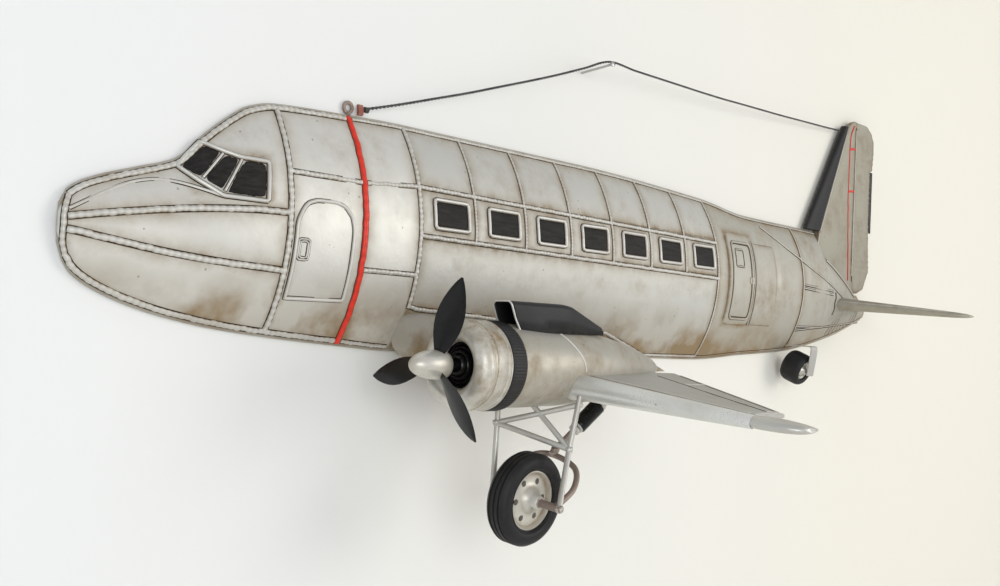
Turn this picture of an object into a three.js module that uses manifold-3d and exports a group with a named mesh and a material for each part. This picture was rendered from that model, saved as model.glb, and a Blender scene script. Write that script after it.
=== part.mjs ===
// A tin relief of a 1930s twin-engine airliner that hangs flat on a wall.
// Only the port half is made: a shallow fuselage with one wing, engine, wheel, fin half and tailplane half
// standing out from it. Millimetres. +X runs from nose to tail, +Y into the wall, +Z up. The wall is the
// plane Y = 0. Stations are measured back from the nose tip; the whole group is then moved so that the
// origin sits on the back face of the middle wall strap, straight below the nail.
import * as THREE from 'three';
import { mergeVertices } from 'three/addons/utils/BufferGeometryUtils.js';
import Module from 'manifold-3d';

const wasm = await Module();
wasm.setup();

// Fuselage: lengths along it, its height, and how far it bulges.
const noseLength = 188;
const bandStation = 269;
const cabinStart = 336;
const windowPitch = 75;
const windowCount = 7;
const aftLength = 236;
const coneLength = 253;
const bodyHeight = 210;
const relief = 0.158;
const sheet = 1;
const hemDepth = 3;
const hemWidth = 9;
const hemOverhang = 3;
const gap = 0.3;
const cabinEnd = cabinStart + windowCount * windowPitch;
const coneStart = cabinEnd + aftLength;
const bodyEnd = coneStart + coneLength;
const half = bodyHeight / 2;

// Seam beads and the trim that stands on the skin.
const beadWidth = 4.5;
const beadHeight = 1.8;
const bandWidth = 5.5;
const bandHeight = 2.6;
const trimLift = 0.4;
const upperBeadHeight = 46;
const lowerBeadHeight = -1;
const windowWidth = 50;
const windowHeight = 31;
const windowBar = 4;
const windowMiddle = 23.5;
const windowLead = 42;
const doorRadius = 26;

// Engine, propeller and nacelle, all turned about one line that runs along X.
const engineOut = 122;
const engineDrop = 10;
const cowlRadius = 39;
const cowlFront = 298;
const cowlLength = 36;
const throatRadius = 20;
const flapLength = 18;
const nacelleLength = 254;
const propRadius = 78;
const propStation = 279;
const spinnerRadius = 12.5;
const spinnerLength = 40;
const shaftRadius = 4;
const spinnerFront = propStation - 29;
const bladeLead = THREE.MathUtils.degToRad(20);
const flapStand = 1.2;
const scoopWidth = 32;
const scoopHeight = 21;
const scoopOut = engineOut + 6;
const engineHeight = -half - engineDrop;
const flapStart = cowlFront + cowlLength;
const nacelleStart = flapStart + flapLength;
const nacelleEnd = nacelleStart + nacelleLength;
const cowlRoomRadius = cowlRadius + flapStand + gap;
const nacelleRadius = cowlRadius - 1.5;
const flapSeat = 3;

// Wing: the stub inside the nacelle and the panel outside it.
const stubFront = cabinStart + 2;
const stubBack = 640;
const rootRunOut = 96;
const wingFront = 424;
const wingBack = 622;
const wingTipFront = 440;
const wingTipBack = 500;
const wingRootOut = engineOut + 28;
const wingPanelOut = wingRootOut + 178;
const wingTipOut = wingPanelOut + 43;
const noseTubeRoot = 12;
const noseTubeTip = 6;
const wingHeight = engineHeight - 17;
const wingDroop = 0.1;

// Main wheel and its frame.
const wheelRadius = 42.5;
const wheelWidth = 24;
const discRadius = 27;
const wheelStation = 392;
const wheelOut = engineOut + 9;
const wheelDrop = 119;
const wheelCant = THREE.MathUtils.degToRad(6);
const axleRadius = 3.5;
const tubeRadius = 2.6;
const wheelHeight = engineHeight - wheelDrop;
const axleIn = -wheelWidth / 2 - 14;
const axleOut = wheelWidth / 2 + 31;

// Fin, rudder and tailplane.
const finTop = half + 164;
const finThickness = 8;
const hingeStation = bodyEnd - 60;
const tabWidth = 9;
const finFront = coneStart + 0.15 * coneLength;
const finCorner = coneStart + 0.28 * coneLength;
const tailplaneOut = 201;
const tailplaneHeight = -18;
const tailplaneDroop = 0.07;

// Tail wheel.
const tailWheelRadius = 22.5;
const tailHubRadius = 13;
const tailWheelWidth = 30;
const tailWheelStation = coneStart - 5;
const tailWheelOut = 28;
const tailWheelCant = THREE.MathUtils.degToRad(22);
const tailWheelHeight = -0.86 * half - tailWheelRadius - 2;

// Hanging: strap, nail, eye, tab and wire.
const strapWidth = 30;
const nailStation = cabinStart + 3.68 * windowPitch;
const nailRadius = 1.4;
const nailLength = 44;
const nailHeight = half + 108;
const nailRise = 0.11;
const wireRadius = 1.5;
const tabStation = bandStation + 13;
const eyeStation = bandStation + 2;

const silver = { color: 0xb4b2aa, roughness: 0.42, metalness: 0.75 };
const brightSilver = { color: 0xc8c6c0, roughness: 0.25, metalness: 0.9 };
const blackGloss = { color: 0x15151a, roughness: 0.22, metalness: 0.1 };
const blackSatin = { color: 0x2c2c2d, roughness: 0.5, metalness: 0.2 };
const redPaint = { color: 0xc02418, roughness: 0.4, metalness: 0.1 };
const rubber = { color: 0x1e1e1e, roughness: 0.8, metalness: 0 };
const tan = { color: 0xa89880, roughness: 0.5, metalness: 0.6 };
const primer = { color: 0x8a4432, roughness: 0.7, metalness: 0.2 };
const steel = { color: 0x9a9a98, roughness: 0.35, metalness: 1 };

const group = new THREE.Group();

// A mesh whose triangles all face out, whichever way its outline was drawn.
function facingOut(geometry) {
  const plain = geometry.index ? geometry.toNonIndexed() : geometry;
  const place = plain.getAttribute('position');
  const a = new THREE.Vector3();
  const b = new THREE.Vector3();
  const c = new THREE.Vector3();
  let volume = 0;
  for (let i = 0; i < place.count; i += 3) {
    a.fromBufferAttribute(place, i);
    b.fromBufferAttribute(place, i + 1);
    c.fromBufferAttribute(place, i + 2);
    volume += a.dot(b.cross(c));
  }
  if (volume >= 0) return plain;
  for (let i = 0; i < place.count; i += 3) {
    b.fromBufferAttribute(place, i + 1);
    c.fromBufferAttribute(place, i + 2);
    place.setXYZ(i + 1, c.x, c.y, c.z);
    place.setXYZ(i + 2, b.x, b.y, b.z);
  }
  return plain;
}

function add(name, shape, look) {
  const geometry = shape.isBufferGeometry ? facingOut(shape) : geometryOf(shape);
  const mesh = new THREE.Mesh(geometry, new THREE.MeshStandardMaterial(look));
  mesh.name = name;
  group.add(mesh);
  return mesh;
}

// Between three.js geometry and the solids that can be joined and cut.
function solid(geometry) {
  const bare = facingOut(geometry).clone();
  bare.deleteAttribute('normal');
  bare.deleteAttribute('uv');
  const joined = mergeVertices(bare, 1e-4);
  const place = joined.getAttribute('position');
  const corners = [];
  for (let i = 0; i < joined.index.count; i += 3) {
    const [p, q, r] = [joined.index.getX(i), joined.index.getX(i + 1), joined.index.getX(i + 2)];
    if (p !== q && q !== r && r !== p) corners.push(p, q, r);
  }
  return new wasm.Manifold(new wasm.Mesh({
    numProp: 3,
    vertProperties: new Float32Array(place.array),
    triVerts: new Uint32Array(corners),
  }));
}

function geometryOf(body) {
  const mesh = body.getMesh();
  const geometry = new THREE.BufferGeometry();
  geometry.setAttribute('position', new THREE.BufferAttribute(new Float32Array(mesh.vertProperties), 3));
  geometry.setIndex(Array.from(mesh.triVerts));
  return geometry;
}

// A smooth line through a few knots that never overshoots them.
function throughKnots(knots) {
  const steps = knots.slice(1).map((knot, i) => (knot[1] - knots[i][1]) / (knot[0] - knots[i][0]));
  const slopes = knots.map((knot, i) => {
    if (i === 0) return steps[0];
    if (i === steps.length) return steps[i - 1];
    if (steps[i - 1] * steps[i] <= 0) return 0;
    return 2 / (1 / steps[i - 1] + 1 / steps[i]);
  });
  return (x) => {
    let i = 0;
    while (i < steps.length - 1 && x > knots[i + 1][0]) i += 1;
    const run = knots[i + 1][0] - knots[i][0];
    const t = Math.min(Math.max((x - knots[i][0]) / run, 0), 1);
    const ease = t * t * (3 - 2 * t);
    const rise = knots[i][1] + (knots[i + 1][1] - knots[i][1]) * ease;
    return rise + run * (slopes[i] * t * (1 - t) ** 2 - slopes[i + 1] * t * t * (1 - t));
  };
}

// The two edges of the fuselage where it meets the wall, as shares of the nose, aft and cone lengths.
const topEdge = throughKnots([
  [0, -0.2 * half], [0.016 * noseLength, -0.03 * half], [0.055 * noseLength, 0.06 * half],
  [0.17 * noseLength, 0.16 * half], [0.34 * noseLength, 0.26 * half], [0.51 * noseLength, 0.365 * half],
  [0.64 * noseLength, 0.58 * half], [0.77 * noseLength, 0.77 * half], [0.87 * noseLength, 0.88 * half],
  [noseLength, 0.94 * half], [bandStation, 0.98 * half], [cabinStart, half],
  [(cabinStart + cabinEnd) / 2, half], [cabinEnd, 0.92 * half], [cabinEnd + 0.48 * aftLength, 0.82 * half],
  [coneStart + 0.3 * coneLength, 0.8 * half], [bodyEnd, -0.15 * half],
]);
const bottomEdge = throughKnots([
  [0, -0.23 * half], [0.012 * noseLength, -0.31 * half], [0.05 * noseLength, -0.47 * half],
  [0.13 * noseLength, -0.58 * half], [0.29 * noseLength, -0.695 * half], [0.47 * noseLength, -0.78 * half],
  [0.72 * noseLength, -0.857 * half], [noseLength, -0.91 * half], [bandStation, -0.965 * half],
  [cabinStart, -half], [cabinEnd, -half], [cabinEnd + 0.48 * aftLength, -0.93 * half],
  [coneStart, -0.855 * half], [coneStart + 0.57 * coneLength, -0.62 * half], [bodyEnd, -0.33 * half],
]);

// The stations and rows at which the skin is folded.
const noseShares = [0.012, 0.04, 0.09, 0.17, 0.28, 0.4, 0.5, 0.6, 0.68, 0.77, 0.88];
const stations = [
  ...noseShares.map((share) => share * noseLength),
  noseLength, (noseLength + bandStation) / 2, bandStation, (bandStation + cabinStart) / 2,
];
for (let i = 0; i <= windowCount; i += 1) stations.push(cabinStart + i * windowPitch);
for (let i = 1; i <= 4; i += 1) stations.push(cabinEnd + (i * aftLength) / 4);
for (let i = 1; i <= 6; i += 1) stations.push(coneStart + (i * coneLength) / 6);
const rowCount = 14;

// How far the skin stands from the wall at height z on one station.
function skinDepth(x, z) {
  const high = topEdge(x);
  const low = bottomEdge(x);
  const reach = (high - low) / 2;
  const crown = relief * (high - low);
  const radius = (reach * reach + crown * crown) / (2 * crown);
  const across = Math.min(Math.abs(z - (high + low) / 2), reach);
  return hemDepth + gap + sheet + Math.sqrt(radius * radius - across * across) - (radius - crown);
}

// A closed mesh from rows of points: every row has the same count, and each row closes on itself.
function skinnedLoops(loops) {
  const count = loops[0].length;
  const place = [];
  const corners = [];
  for (const loop of loops) {
    for (const point of loop) place.push(point.x, point.y, point.z);
  }
  for (let i = 0; i < loops.length - 1; i += 1) {
    for (let j = 0; j < count; j += 1) {
      const a = i * count + j;
      const b = i * count + ((j + 1) % count);
      corners.push(a, b, b + count, a, b + count, a + count);
    }
  }
  const last = (loops.length - 1) * count;
  const flat = loops[0].map((point) => point.clone());
  const cap = capTriangles(flat);
  const endCap = capTriangles(loops[loops.length - 1]);
  for (const [a, b, c] of cap) corners.push(a, c, b);
  for (const [a, b, c] of endCap) corners.push(last + a, last + b, last + c);
  const geometry = new THREE.BufferGeometry();
  geometry.setAttribute('position', new THREE.Float32BufferAttribute(place, 3));
  geometry.setIndex(corners);
  return geometry;
}

// Triangles that close one flat loop, found in the plane in which it is widest.
function capTriangles(loop) {
  const size = new THREE.Box3().setFromPoints(loop).getSize(new THREE.Vector3());
  const thin = ['x', 'y', 'z'].sort((p, q) => size[p] - size[q])[0];
  const [u, v] = { x: ['y', 'z'], y: ['z', 'x'], z: ['x', 'y'] }[thin];
  const flat = loop.map((point) => new THREE.Vector2(point[u], point[v]));
  const turns = THREE.ShapeUtils.isClockWise(flat);
  const faces = THREE.ShapeUtils.triangulateShape(turns ? flat.slice().reverse() : flat, []);
  if (!turns) return faces;
  return faces.map(([a, b, c]) => [loop.length - 1 - a, loop.length - 1 - c, loop.length - 1 - b]);
}

// A layer of the skin between two distances in front of its face, over a stretch of stations.
function skinLayer(from, to, low, high) {
  const kept = stations.filter((x, i) => {
    const before = stations[i - 1] ?? x;
    const after = stations[i + 1] ?? x;
    return after > from && before < to;
  });
  const loops = kept.map((x) => {
    const middle = (topEdge(x) + bottomEdge(x)) / 2;
    const reach = (topEdge(x) - bottomEdge(x)) / 2;
    const front = [];
    const back = [];
    for (let i = 0; i <= rowCount; i += 1) {
      const z = middle + reach * Math.sin((Math.PI / 2) * ((2 * i) / rowCount - 1));
      front.push(new THREE.Vector3(x, -skinDepth(x, z) - high, z));
      back.push(new THREE.Vector3(x, -skinDepth(x, z) - low, z));
    }
    return [...front, ...back.reverse()];
  });
  return solid(skinnedLoops(loops));
}

// A straight cut through the relief from front to back, with holes if wanted.
function throughCut(outline, holes = [], near = -30, far = 130) {
  const shape = new THREE.Shape(outline.map(([x, z]) => new THREE.Vector2(x, z)));
  const geometry = new THREE.ExtrudeGeometry(shape, { depth: far - near, bevelEnabled: false, steps: 1 });
  geometry.translate(0, 0, near);
  geometry.rotateX(Math.PI / 2);
  const cutOut = (body, hole) => body.subtract(throughCut(hole, [], near - 1, far + 1));
  return holes.reduce(cutOut, solid(geometry));
}

// Trim of one thickness that follows the skin inside an outline.
function onSkin(cut, lift, thickness) {
  const box = cut.boundingBox();
  return skinLayer(box.min[0], box.max[0], lift, lift + thickness).intersect(cut);
}

function rectangle(x0, x1, z0, z1) {
  return [[x0, z0], [x1, z0], [x1, z1], [x0, z1]];
}

function roundedRectangle(x0, x1, z0, z1, radius, steps = 3) {
  const corners = [[x1 - radius, z1 - radius], [x0 + radius, z1 - radius], [x0 + radius, z0 + radius],
    [x1 - radius, z0 + radius]];
  const points = [];
  corners.forEach(([x, z], quarter) => {
    for (let i = 0; i <= steps; i += 1) {
      const angle = (Math.PI / 2) * (quarter + i / steps);
      points.push([x + radius * Math.cos(angle), z + radius * Math.sin(angle)]);
    }
  });
  return points;
}

// An outline between two lines that run along the fuselage.
function between(from, to, lower, upper) {
  const inside = stations.filter((x) => x > from + 1 && x < to - 1);
  const along = [from, ...inside, to];
  return [...along.map((x) => [x, lower(x)]), ...along.reverse().map((x) => [x, upper(x)])];
}

const farUp = () => 2 * half;
const farDown = () => -2 * half;
const noseStart = stations[0];
const upperNoseBead = (x) => half * (-0.15 + 0.21 * Math.sin((Math.PI / 2) * Math.min(x / noseLength, 1)));
const lowerNoseBead = (x) => {
  const share = Math.min(x / noseLength, 1);
  return half * (-0.225 - 0.175 * share - 0.035 * Math.sin(Math.PI * share));
};
const shift = (line, amount) => (x) => line(x) + amount;

function addSkin(name, outline) {
  add(name, onSkin(throughCut(outline), -sheet, sheet), silver);
}

function addSkins() {
  const seam = gap / 2;
  const noseEnd = noseLength - seam;
  addSkin('nose_crown_skin', between(noseStart, noseEnd, shift(upperNoseBead, seam), farUp));
  const cheek = [shift(lowerNoseBead, seam), shift(upperNoseBead, -seam)];
  addSkin('nose_cheek_skin', between(noseStart, noseEnd, ...cheek));
  addSkin('nose_chin_skin', between(noseStart, noseEnd, farDown, shift(lowerNoseBead, -seam)));
  addSkin('door_bay_skin', between(noseLength + seam, bandStation - seam, farDown, farUp));
  addSkin('forward_skin', between(bandStation + seam, cabinStart - seam, farDown, farUp));
  const cabin = [cabinStart + seam, cabinEnd - seam];
  addSkin('roof_skin', between(...cabin, () => upperBeadHeight + seam, farUp));
  addSkin('window_skin', between(...cabin, () => lowerBeadHeight + seam, () => upperBeadHeight - seam));
  addSkin('lower_side_skin', between(...cabin, farDown, () => lowerBeadHeight - seam));
  addSkin('aft_skin', between(cabinEnd + seam, coneStart - seam, farDown, farUp));
  addSkin('tail_cone_skin', [
    [coneStart + seam, farDown()], [bodyEnd, farDown()], [bodyEnd, finFoot(bodyEnd) - gap],
    [hingeStation + 8, finFoot(hingeStation + 8) - gap], [finCorner, finFoot(finCorner) - gap],
    [finCorner + 8, 0.8 * half - gap], [finCorner + 8, farUp()], [coneStart + seam, farUp()],
  ]);
}

// The slanting line on which the fin stands on the tail cone.
function finFoot(x) {
  const share = (x - finCorner) / (hingeStation + 8 - finCorner);
  return half * (0.5 - 0.51 * share);
}

// The folded hem that lies on the wall round the fuselage, in an upper and a lower half.
function addRims() {
  const end = bodyEnd - 4;
  const upperEnd = finCorner + 6;
  const upper = between(1, upperEnd, shift(topEdge, hemOverhang - hemWidth), shift(topEdge, hemOverhang));
  const lower = between(1, end, shift(bottomEdge, -hemOverhang), shift(bottomEdge, hemWidth - hemOverhang));
  const split = throughCut(rectangle(-20, 12, -0.215 * half - gap / 2, -0.215 * half + gap / 2));
  const above = throughCut(rectangle(-20, 20, -0.215 * half, half));
  const below = throughCut(rectangle(-20, 20, -half, -0.215 * half));
  add('rim_top', throughCut(upper, [], 0, hemDepth).subtract(below).subtract(split), silver);
  add('rim_bottom', throughCut(lower, [], 0, hemDepth).subtract(above).subtract(split), silver);
}

function addWallStrap(name, x) {
  const inset = hemWidth - hemOverhang + gap;
  const reach = strapWidth / 2;
  const outline = between(x - reach, x + reach, shift(bottomEdge, inset), shift(topEdge, -inset));
  add(name, throughCut(outline, [], 0, hemDepth), silver);
}

// Seam beads: a bead along a line, and a bead down one station.
function lengthBead(line, from, to) {
  return throughCut(between(from, to, shift(line, -beadWidth / 2), shift(line, beadWidth / 2)));
}

function rimBead(from, to, lowerFrom = from) {
  const upper = between(from, to, shift(topEdge, -beadWidth), farUp);
  const lower = between(lowerFrom, to, farDown, shift(bottomEdge, beadWidth));
  return throughCut(upper).add(throughCut(lower));
}

function crossBead(x, low = farDown(), high = farUp()) {
  return throughCut(rectangle(x - beadWidth / 2, x + beadWidth / 2, low, high));
}

function addBeads() {
  const clear = bandWidth / 2 + gap;
  const upper = () => upperBeadHeight;
  const lower = () => lowerBeadHeight;
  let nose = rimBead(noseStart, bandStation - clear).add(crossBead(noseLength));
  nose = nose.add(crossBead(noseStart + beadWidth / 2));
  nose = nose.add(lengthBead(upperNoseBead, noseStart, noseLength));
  nose = nose.add(lengthBead(lowerNoseBead, noseStart, noseLength));
  nose = nose.add(lengthBead(upper, noseLength, bandStation - clear));
  nose = nose.subtract(throughCut(grown(windscreenOutline, 2 * gap)));
  add('nose_beads', onSkin(nose, trimLift, beadHeight), silver);

  let cabin = rimBead(bandStation + clear, cabinEnd + beadWidth / 2, stubBack + rootRunOut);
  cabin = cabin.add(lengthBead(upper, bandStation + clear, cabinEnd));
  cabin = cabin.add(lengthBead(lower, cabinStart, cabinEnd));
  cabin = cabin.add(lengthBead(() => -0.34 * half, bandStation + clear, cabinStart));
  cabin = cabin.add(crossBead(cabinStart)).add(crossBead(cabinEnd));
  for (let i = 1; i < windowCount; i += 1) {
    cabin = cabin.add(crossBead(cabinStart + i * windowPitch, lowerBeadHeight));
  }
  const stub = rootCut();
  add('cabin_beads', onSkin(cabin, trimLift, beadHeight).subtract(stub), silver);
  const reach = bandWidth / 2;
  const band = throughCut(rectangle(bandStation - reach, bandStation + reach, farDown(), farUp()));
  add('red_band', onSkin(band, trimLift, bandHeight), redPaint);
}

// The corner of the lower side that the wing stub covers.
function rootCut() {
  const front = stubFront - 12;
  return throughCut([
    [front, farDown()], [front, rootTop(stubFront)], [stubBack, rootTop(stubBack)],
    [stubBack + rootRunOut, farDown()],
  ]);
}

function rootTop(x) {
  return half * (-0.63 - (0.13 * (x - stubFront)) / (stubBack - stubFront));
}

function addWindows() {
  for (let i = 0; i < windowCount; i += 1) {
    const middle = cabinStart + windowLead + i * windowPitch;
    const [x0, x1] = [middle - windowWidth / 2, middle + windowWidth / 2];
    const [z0, z1] = [windowMiddle - windowHeight / 2, windowMiddle + windowHeight / 2];
    const outer = roundedRectangle(x0, x1, z0, z1, 3, 2);
    const bar = windowBar;
    const inner = roundedRectangle(x0 + bar, x1 - bar, z0 + bar, z1 - bar, 2, 2);
    add(`window_frame_${i + 1}`, onSkin(throughCut(outer, [inner]), trimLift, beadHeight), brightSilver);
  }
}

// The three-pane windscreen frame: one outline with a hole for each pane.
const shareOutline = (points) => points.map(([x, z]) => [x * noseLength, z * half]);
const windscreenOutline = shareOutline([
  [0.5, 0.32], [0.615, 0.555], [0.9, 0.475], [0.885, 0.115], [0.67, 0.12], [0.575, 0.22],
]);

function addWindscreen() {
  const panes = [
    [[0.52, 0.335], [0.63, 0.505], [0.68, 0.48], [0.59, 0.27]],
    [[0.61, 0.26], [0.7, 0.475], [0.765, 0.45], [0.67, 0.18]],
    [[0.695, 0.16], [0.79, 0.44], [0.875, 0.43], [0.86, 0.16]],
  ].map(shareOutline);
  add('windscreen_frame', onSkin(throughCut(windscreenOutline, panes), trimLift, beadHeight), brightSilver);
}

// An outline moved outwards from its own middle.
function grown(outline, amount) {
  const middle = [0, 1].map((axis) => outline.reduce((sum, point) => sum + point[axis], 0) / outline.length);
  return outline.map(([x, z]) => {
    const reach = Math.hypot(x - middle[0], z - middle[1]);
    return [x + (amount * (x - middle[0])) / reach, z + (amount * (z - middle[1])) / reach];
  });
}

// A doorway outline: square at the sill and rounded at the top.
function arch(x0, x1, z0, z1, radius, steps = 5) {
  const points = [[x0, z0], [x1, z0]];
  for (let i = 0; i <= 2 * steps; i += 1) {
    const angle = (Math.PI / 2) * (i / steps);
    const middle = i <= steps ? x1 - radius : x0 + radius;
    points.push([middle + radius * Math.cos(angle), z1 - radius + radius * Math.sin(angle)]);
  }
  return points;
}

function addDoors() {
  const bar = 3;
  const [left, right] = [noseLength + 9, bandStation - 11];
  const [sill, head] = [-0.63 * half, 0.21 * half];
  const outer = arch(left, right, sill, head, doorRadius);
  const inner = arch(left + bar, right - bar, sill + bar, head - bar, doorRadius - bar);
  add('front_door_trim', onSkin(throughCut(outer, [inner]), trimLift, beadHeight), silver);
  const door = roundedRectangle(cabinEnd + 26, cabinEnd + 101, -0.58 * half, 0.56 * half, 8, 3);
  add('rear_door', onSkin(throughCut(door), trimLift, beadHeight), silver);
}

// A body of revolution about an axis that runs along X, from [station, radius] pairs.
function turned(profile, sides = 24) {
  const points = profile.map(([x, radius]) => new THREE.Vector2(Math.max(radius, 0), x));
  return new THREE.LatheGeometry(points, sides).rotateZ(-Math.PI / 2);
}

function onEngine(geometry) {
  return geometry.translate(0, -engineOut, engineHeight);
}

function nacelleProfile(extra) {
  const r = nacelleRadius;
  const e = nacelleEnd - nacelleStart;
  return [
    [flapStart + gap - extra, 0], [flapStart + gap - extra, r - flapSeat + extra],
    [nacelleStart + gap, r - flapSeat + extra], [nacelleStart + gap, r + extra],
    [nacelleStart + 0.35 * e, r - 1 + extra],
    [nacelleStart + 0.55 * e, 0.86 * r + extra], [nacelleStart + 0.75 * e, 0.62 * r + extra],
    [nacelleStart + 0.92 * e, 0.3 * r + extra], [nacelleEnd + extra, 0],
  ];
}

const nacelleRoom = solid(onEngine(turned(nacelleProfile(gap))));
const cowlRoom = solid(onEngine(turned([
  [cowlFront, 0], [cowlFront, cowlRoomRadius], [nacelleStart + gap, cowlRoomRadius], [nacelleStart + gap, 0],
], 28)));

function addEngine() {
  add('nacelle', onEngine(turned(nacelleProfile(0))), silver);
  const r = cowlRadius;
  const lip = [];
  for (let i = 0; i <= 8; i += 1) {
    const angle = Math.PI * (i / 8);
    const middle = (throatRadius + r - 2) / 2;
    const reach = (r - 2 - throatRadius) / 2;
    lip.push([cowlFront + 12 * (1 - Math.sin(angle)), middle - reach * Math.cos(angle)]);
  }
  const cowl = [
    [cowlFront + 12, throatRadius], ...lip.slice(1), [cowlFront + 16, r], [flapStart - gap, r],
    [flapStart - gap, r - 2], [cowlFront + 16, r - 3], [cowlFront + 14, throatRadius + 4],
    [cowlFront + 12, throatRadius],
  ];
  add('cowl', onEngine(turned(cowl, 28)), brightSilver);
  const inner = nacelleRadius - flapSeat + 2 * gap;
  const outer = r + flapStand;
  const flaps = [
    [flapStart, inner], [flapStart, outer], [nacelleStart, outer], [nacelleStart, inner], [flapStart, inner],
  ];
  add('cowl_flaps', onEngine(turned(flaps, 28)), blackSatin);
  const faceEnd = flapStart - gap;
  const core = [
    [propStation - 3, 0], [propStation - 3, shaftRadius], [cowlFront + 4, shaftRadius], [cowlFront + 6, 10],
    [cowlFront + 18, 14], [cowlFront + 20, r - 5], [faceEnd, r - 5], [faceEnd, 0],
  ];
  add('engine_core', onEngine(turned(core, 20)), blackGloss);
}

// The spinner turns on the shaft in a blind bore.
function spinnerProfile(extra) {
  const nose = [];
  for (let i = 0; i <= 6; i += 1) {
    const angle = (Math.PI / 2) * (i / 6);
    nose.push([spinnerFront + 0.7 * spinnerLength * (1 - Math.cos(angle)) - extra,
      spinnerRadius * Math.sin(angle) + (i ? extra : 0)]);
  }
  const back = spinnerFront + spinnerLength;
  return [...nose, [back + extra, 0.86 * spinnerRadius + extra]];
}

function addPropeller() {
  const back = spinnerFront + spinnerLength;
  const boreEnd = propStation - 3 - gap;
  const bore = [[back, shaftRadius + gap], [boreEnd, shaftRadius + gap], [boreEnd, 0]];
  add('spinner', onEngine(turned([...spinnerProfile(0), ...bore], 20)), brightSilver);
  const room = solid(onEngine(turned([...spinnerProfile(gap), [back + gap, 0]], 20)));
  for (let i = 0; i < 3; i += 1) {
    const blade = bladeShape().rotateX(bladeLead + (i * 2 * Math.PI) / 3);
    add(`blade_${i + 1}`, solid(onEngine(blade)).subtract(room), blackGloss);
  }
}

// One blade: a twisted, pointed plate that grows out along +Z from the spinner.
function bladeShape() {
  const cuts = [[0.1, 0.09], [0.25, 0.22], [0.42, 0.33], [0.6, 0.33], [0.78, 0.25], [0.92, 0.13], [1, 0.03]];
  const loops = cuts.map(([share, chord]) => {
    const pitch = THREE.MathUtils.degToRad(38 - 22 * share);
    const halfChord = (propRadius * chord) / 2;
    const thick = 1.3 - 0.6 * share;
    const ring = [[-halfChord, 0], [-0.4 * halfChord, thick], [0.4 * halfChord, thick], [halfChord, 0],
      [0.4 * halfChord, -thick], [-0.4 * halfChord, -thick]];
    return ring.map(([u, v]) => new THREE.Vector3(
      propStation + u * Math.sin(pitch) + v * Math.cos(pitch),
      v * Math.sin(pitch) - u * Math.cos(pitch),
      share * propRadius,
    ));
  });
  return skinnedLoops(loops);
}

// The air scoop: a bent hood on top of the nacelle, open at its mouth.
function addScoop() {
  const hood = (inset) => {
    const cuts = [[nacelleStart + gap, 1, 1], [nacelleStart + 76, 1, 1], [nacelleStart + 136, 0.62, 0.12]];
    const loops = cuts.map(([x, wide, tall], i) => {
      const reach = (scoopWidth / 2) * wide - inset;
      const top = engineHeight + cowlRadius - 2 + scoopHeight * tall - inset;
      const base = engineHeight + 0.3 * cowlRadius - (inset ? 2 : 0);
      const place = x - (inset && i === 0 ? 2 : 0);
      const corner = 4;
      return [
        [-reach, base], [-reach, top - corner], [-reach + corner, top],
        [reach - corner, top], [reach, top - corner], [reach, base],
      ].map(([y, z]) => new THREE.Vector3(place, y - scoopOut, z));
    });
    return solid(skinnedLoops(loops));
  };
  add('air_scoop', hood(0).subtract(hood(1.4)).subtract(nacelleRoom), blackSatin);
}

// A wing section in one plane along the fuselage: round at the front and thin at the back.
function wingSection(front, back, out, height, thick, backThick) {
  const points = [];
  const r = thick / 2;
  for (let i = 0; i <= 4; i += 1) {
    const angle = Math.PI * (0.5 + i / 4);
    points.push([front + r + r * Math.cos(angle), height + r * Math.sin(angle)]);
  }
  points.push([back, height - backThick / 2], [back, height + backThick / 2]);
  return points.map(([x, z]) => new THREE.Vector3(x, -out, z));
}

const bodyRoom = skinLayer(noseStart, bodyEnd, -40, gap);

function addWingStub() {
  const inner = [
    [stubFront - 8, rootTop(stubFront) - 9], [stubFront, rootTop(stubFront) - 1],
    [stubBack, rootTop(stubBack)], [stubBack + 92, -0.97 * half], [stubBack - 40, -1.1 * half],
    [stubFront + 10, -1.16 * half], [stubFront - 8, rootTop(stubFront) - 26],
  ].map(([x, z]) => new THREE.Vector3(x, -8, z));
  const outer = [
    [nacelleStart - 2, engineHeight + 10], [nacelleStart + 4, engineHeight + 17],
    [stubBack - 60, engineHeight + 2], [stubBack - 20, engineHeight - 2], [stubBack - 40, engineHeight - 5],
    [nacelleStart + 6, engineHeight - 14], [nacelleStart - 2, engineHeight - 8],
  ].map(([x, z]) => new THREE.Vector3(x, -engineOut, z));
  const stub = solid(skinnedLoops([inner, outer]));
  const inRim = between(1, bodyEnd - 4, shift(bottomEdge, -hemOverhang - gap), farUp);
  const rim = throughCut(inRim, [], -40, hemDepth + 2);
  const room = bodyRoom.add(nacelleRoom).add(cowlRoom).add(rim);
  add('wing_stub', largest(stub.subtract(room)), silver);
}

// The biggest piece of a solid that a cut has left in several.
function largest(body) {
  return body.decompose().sort((a, b) => b.volume() - a.volume())[0];
}

function wingLine(out) {
  return wingHeight - wingDroop * (out - wingRootOut);
}

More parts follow.
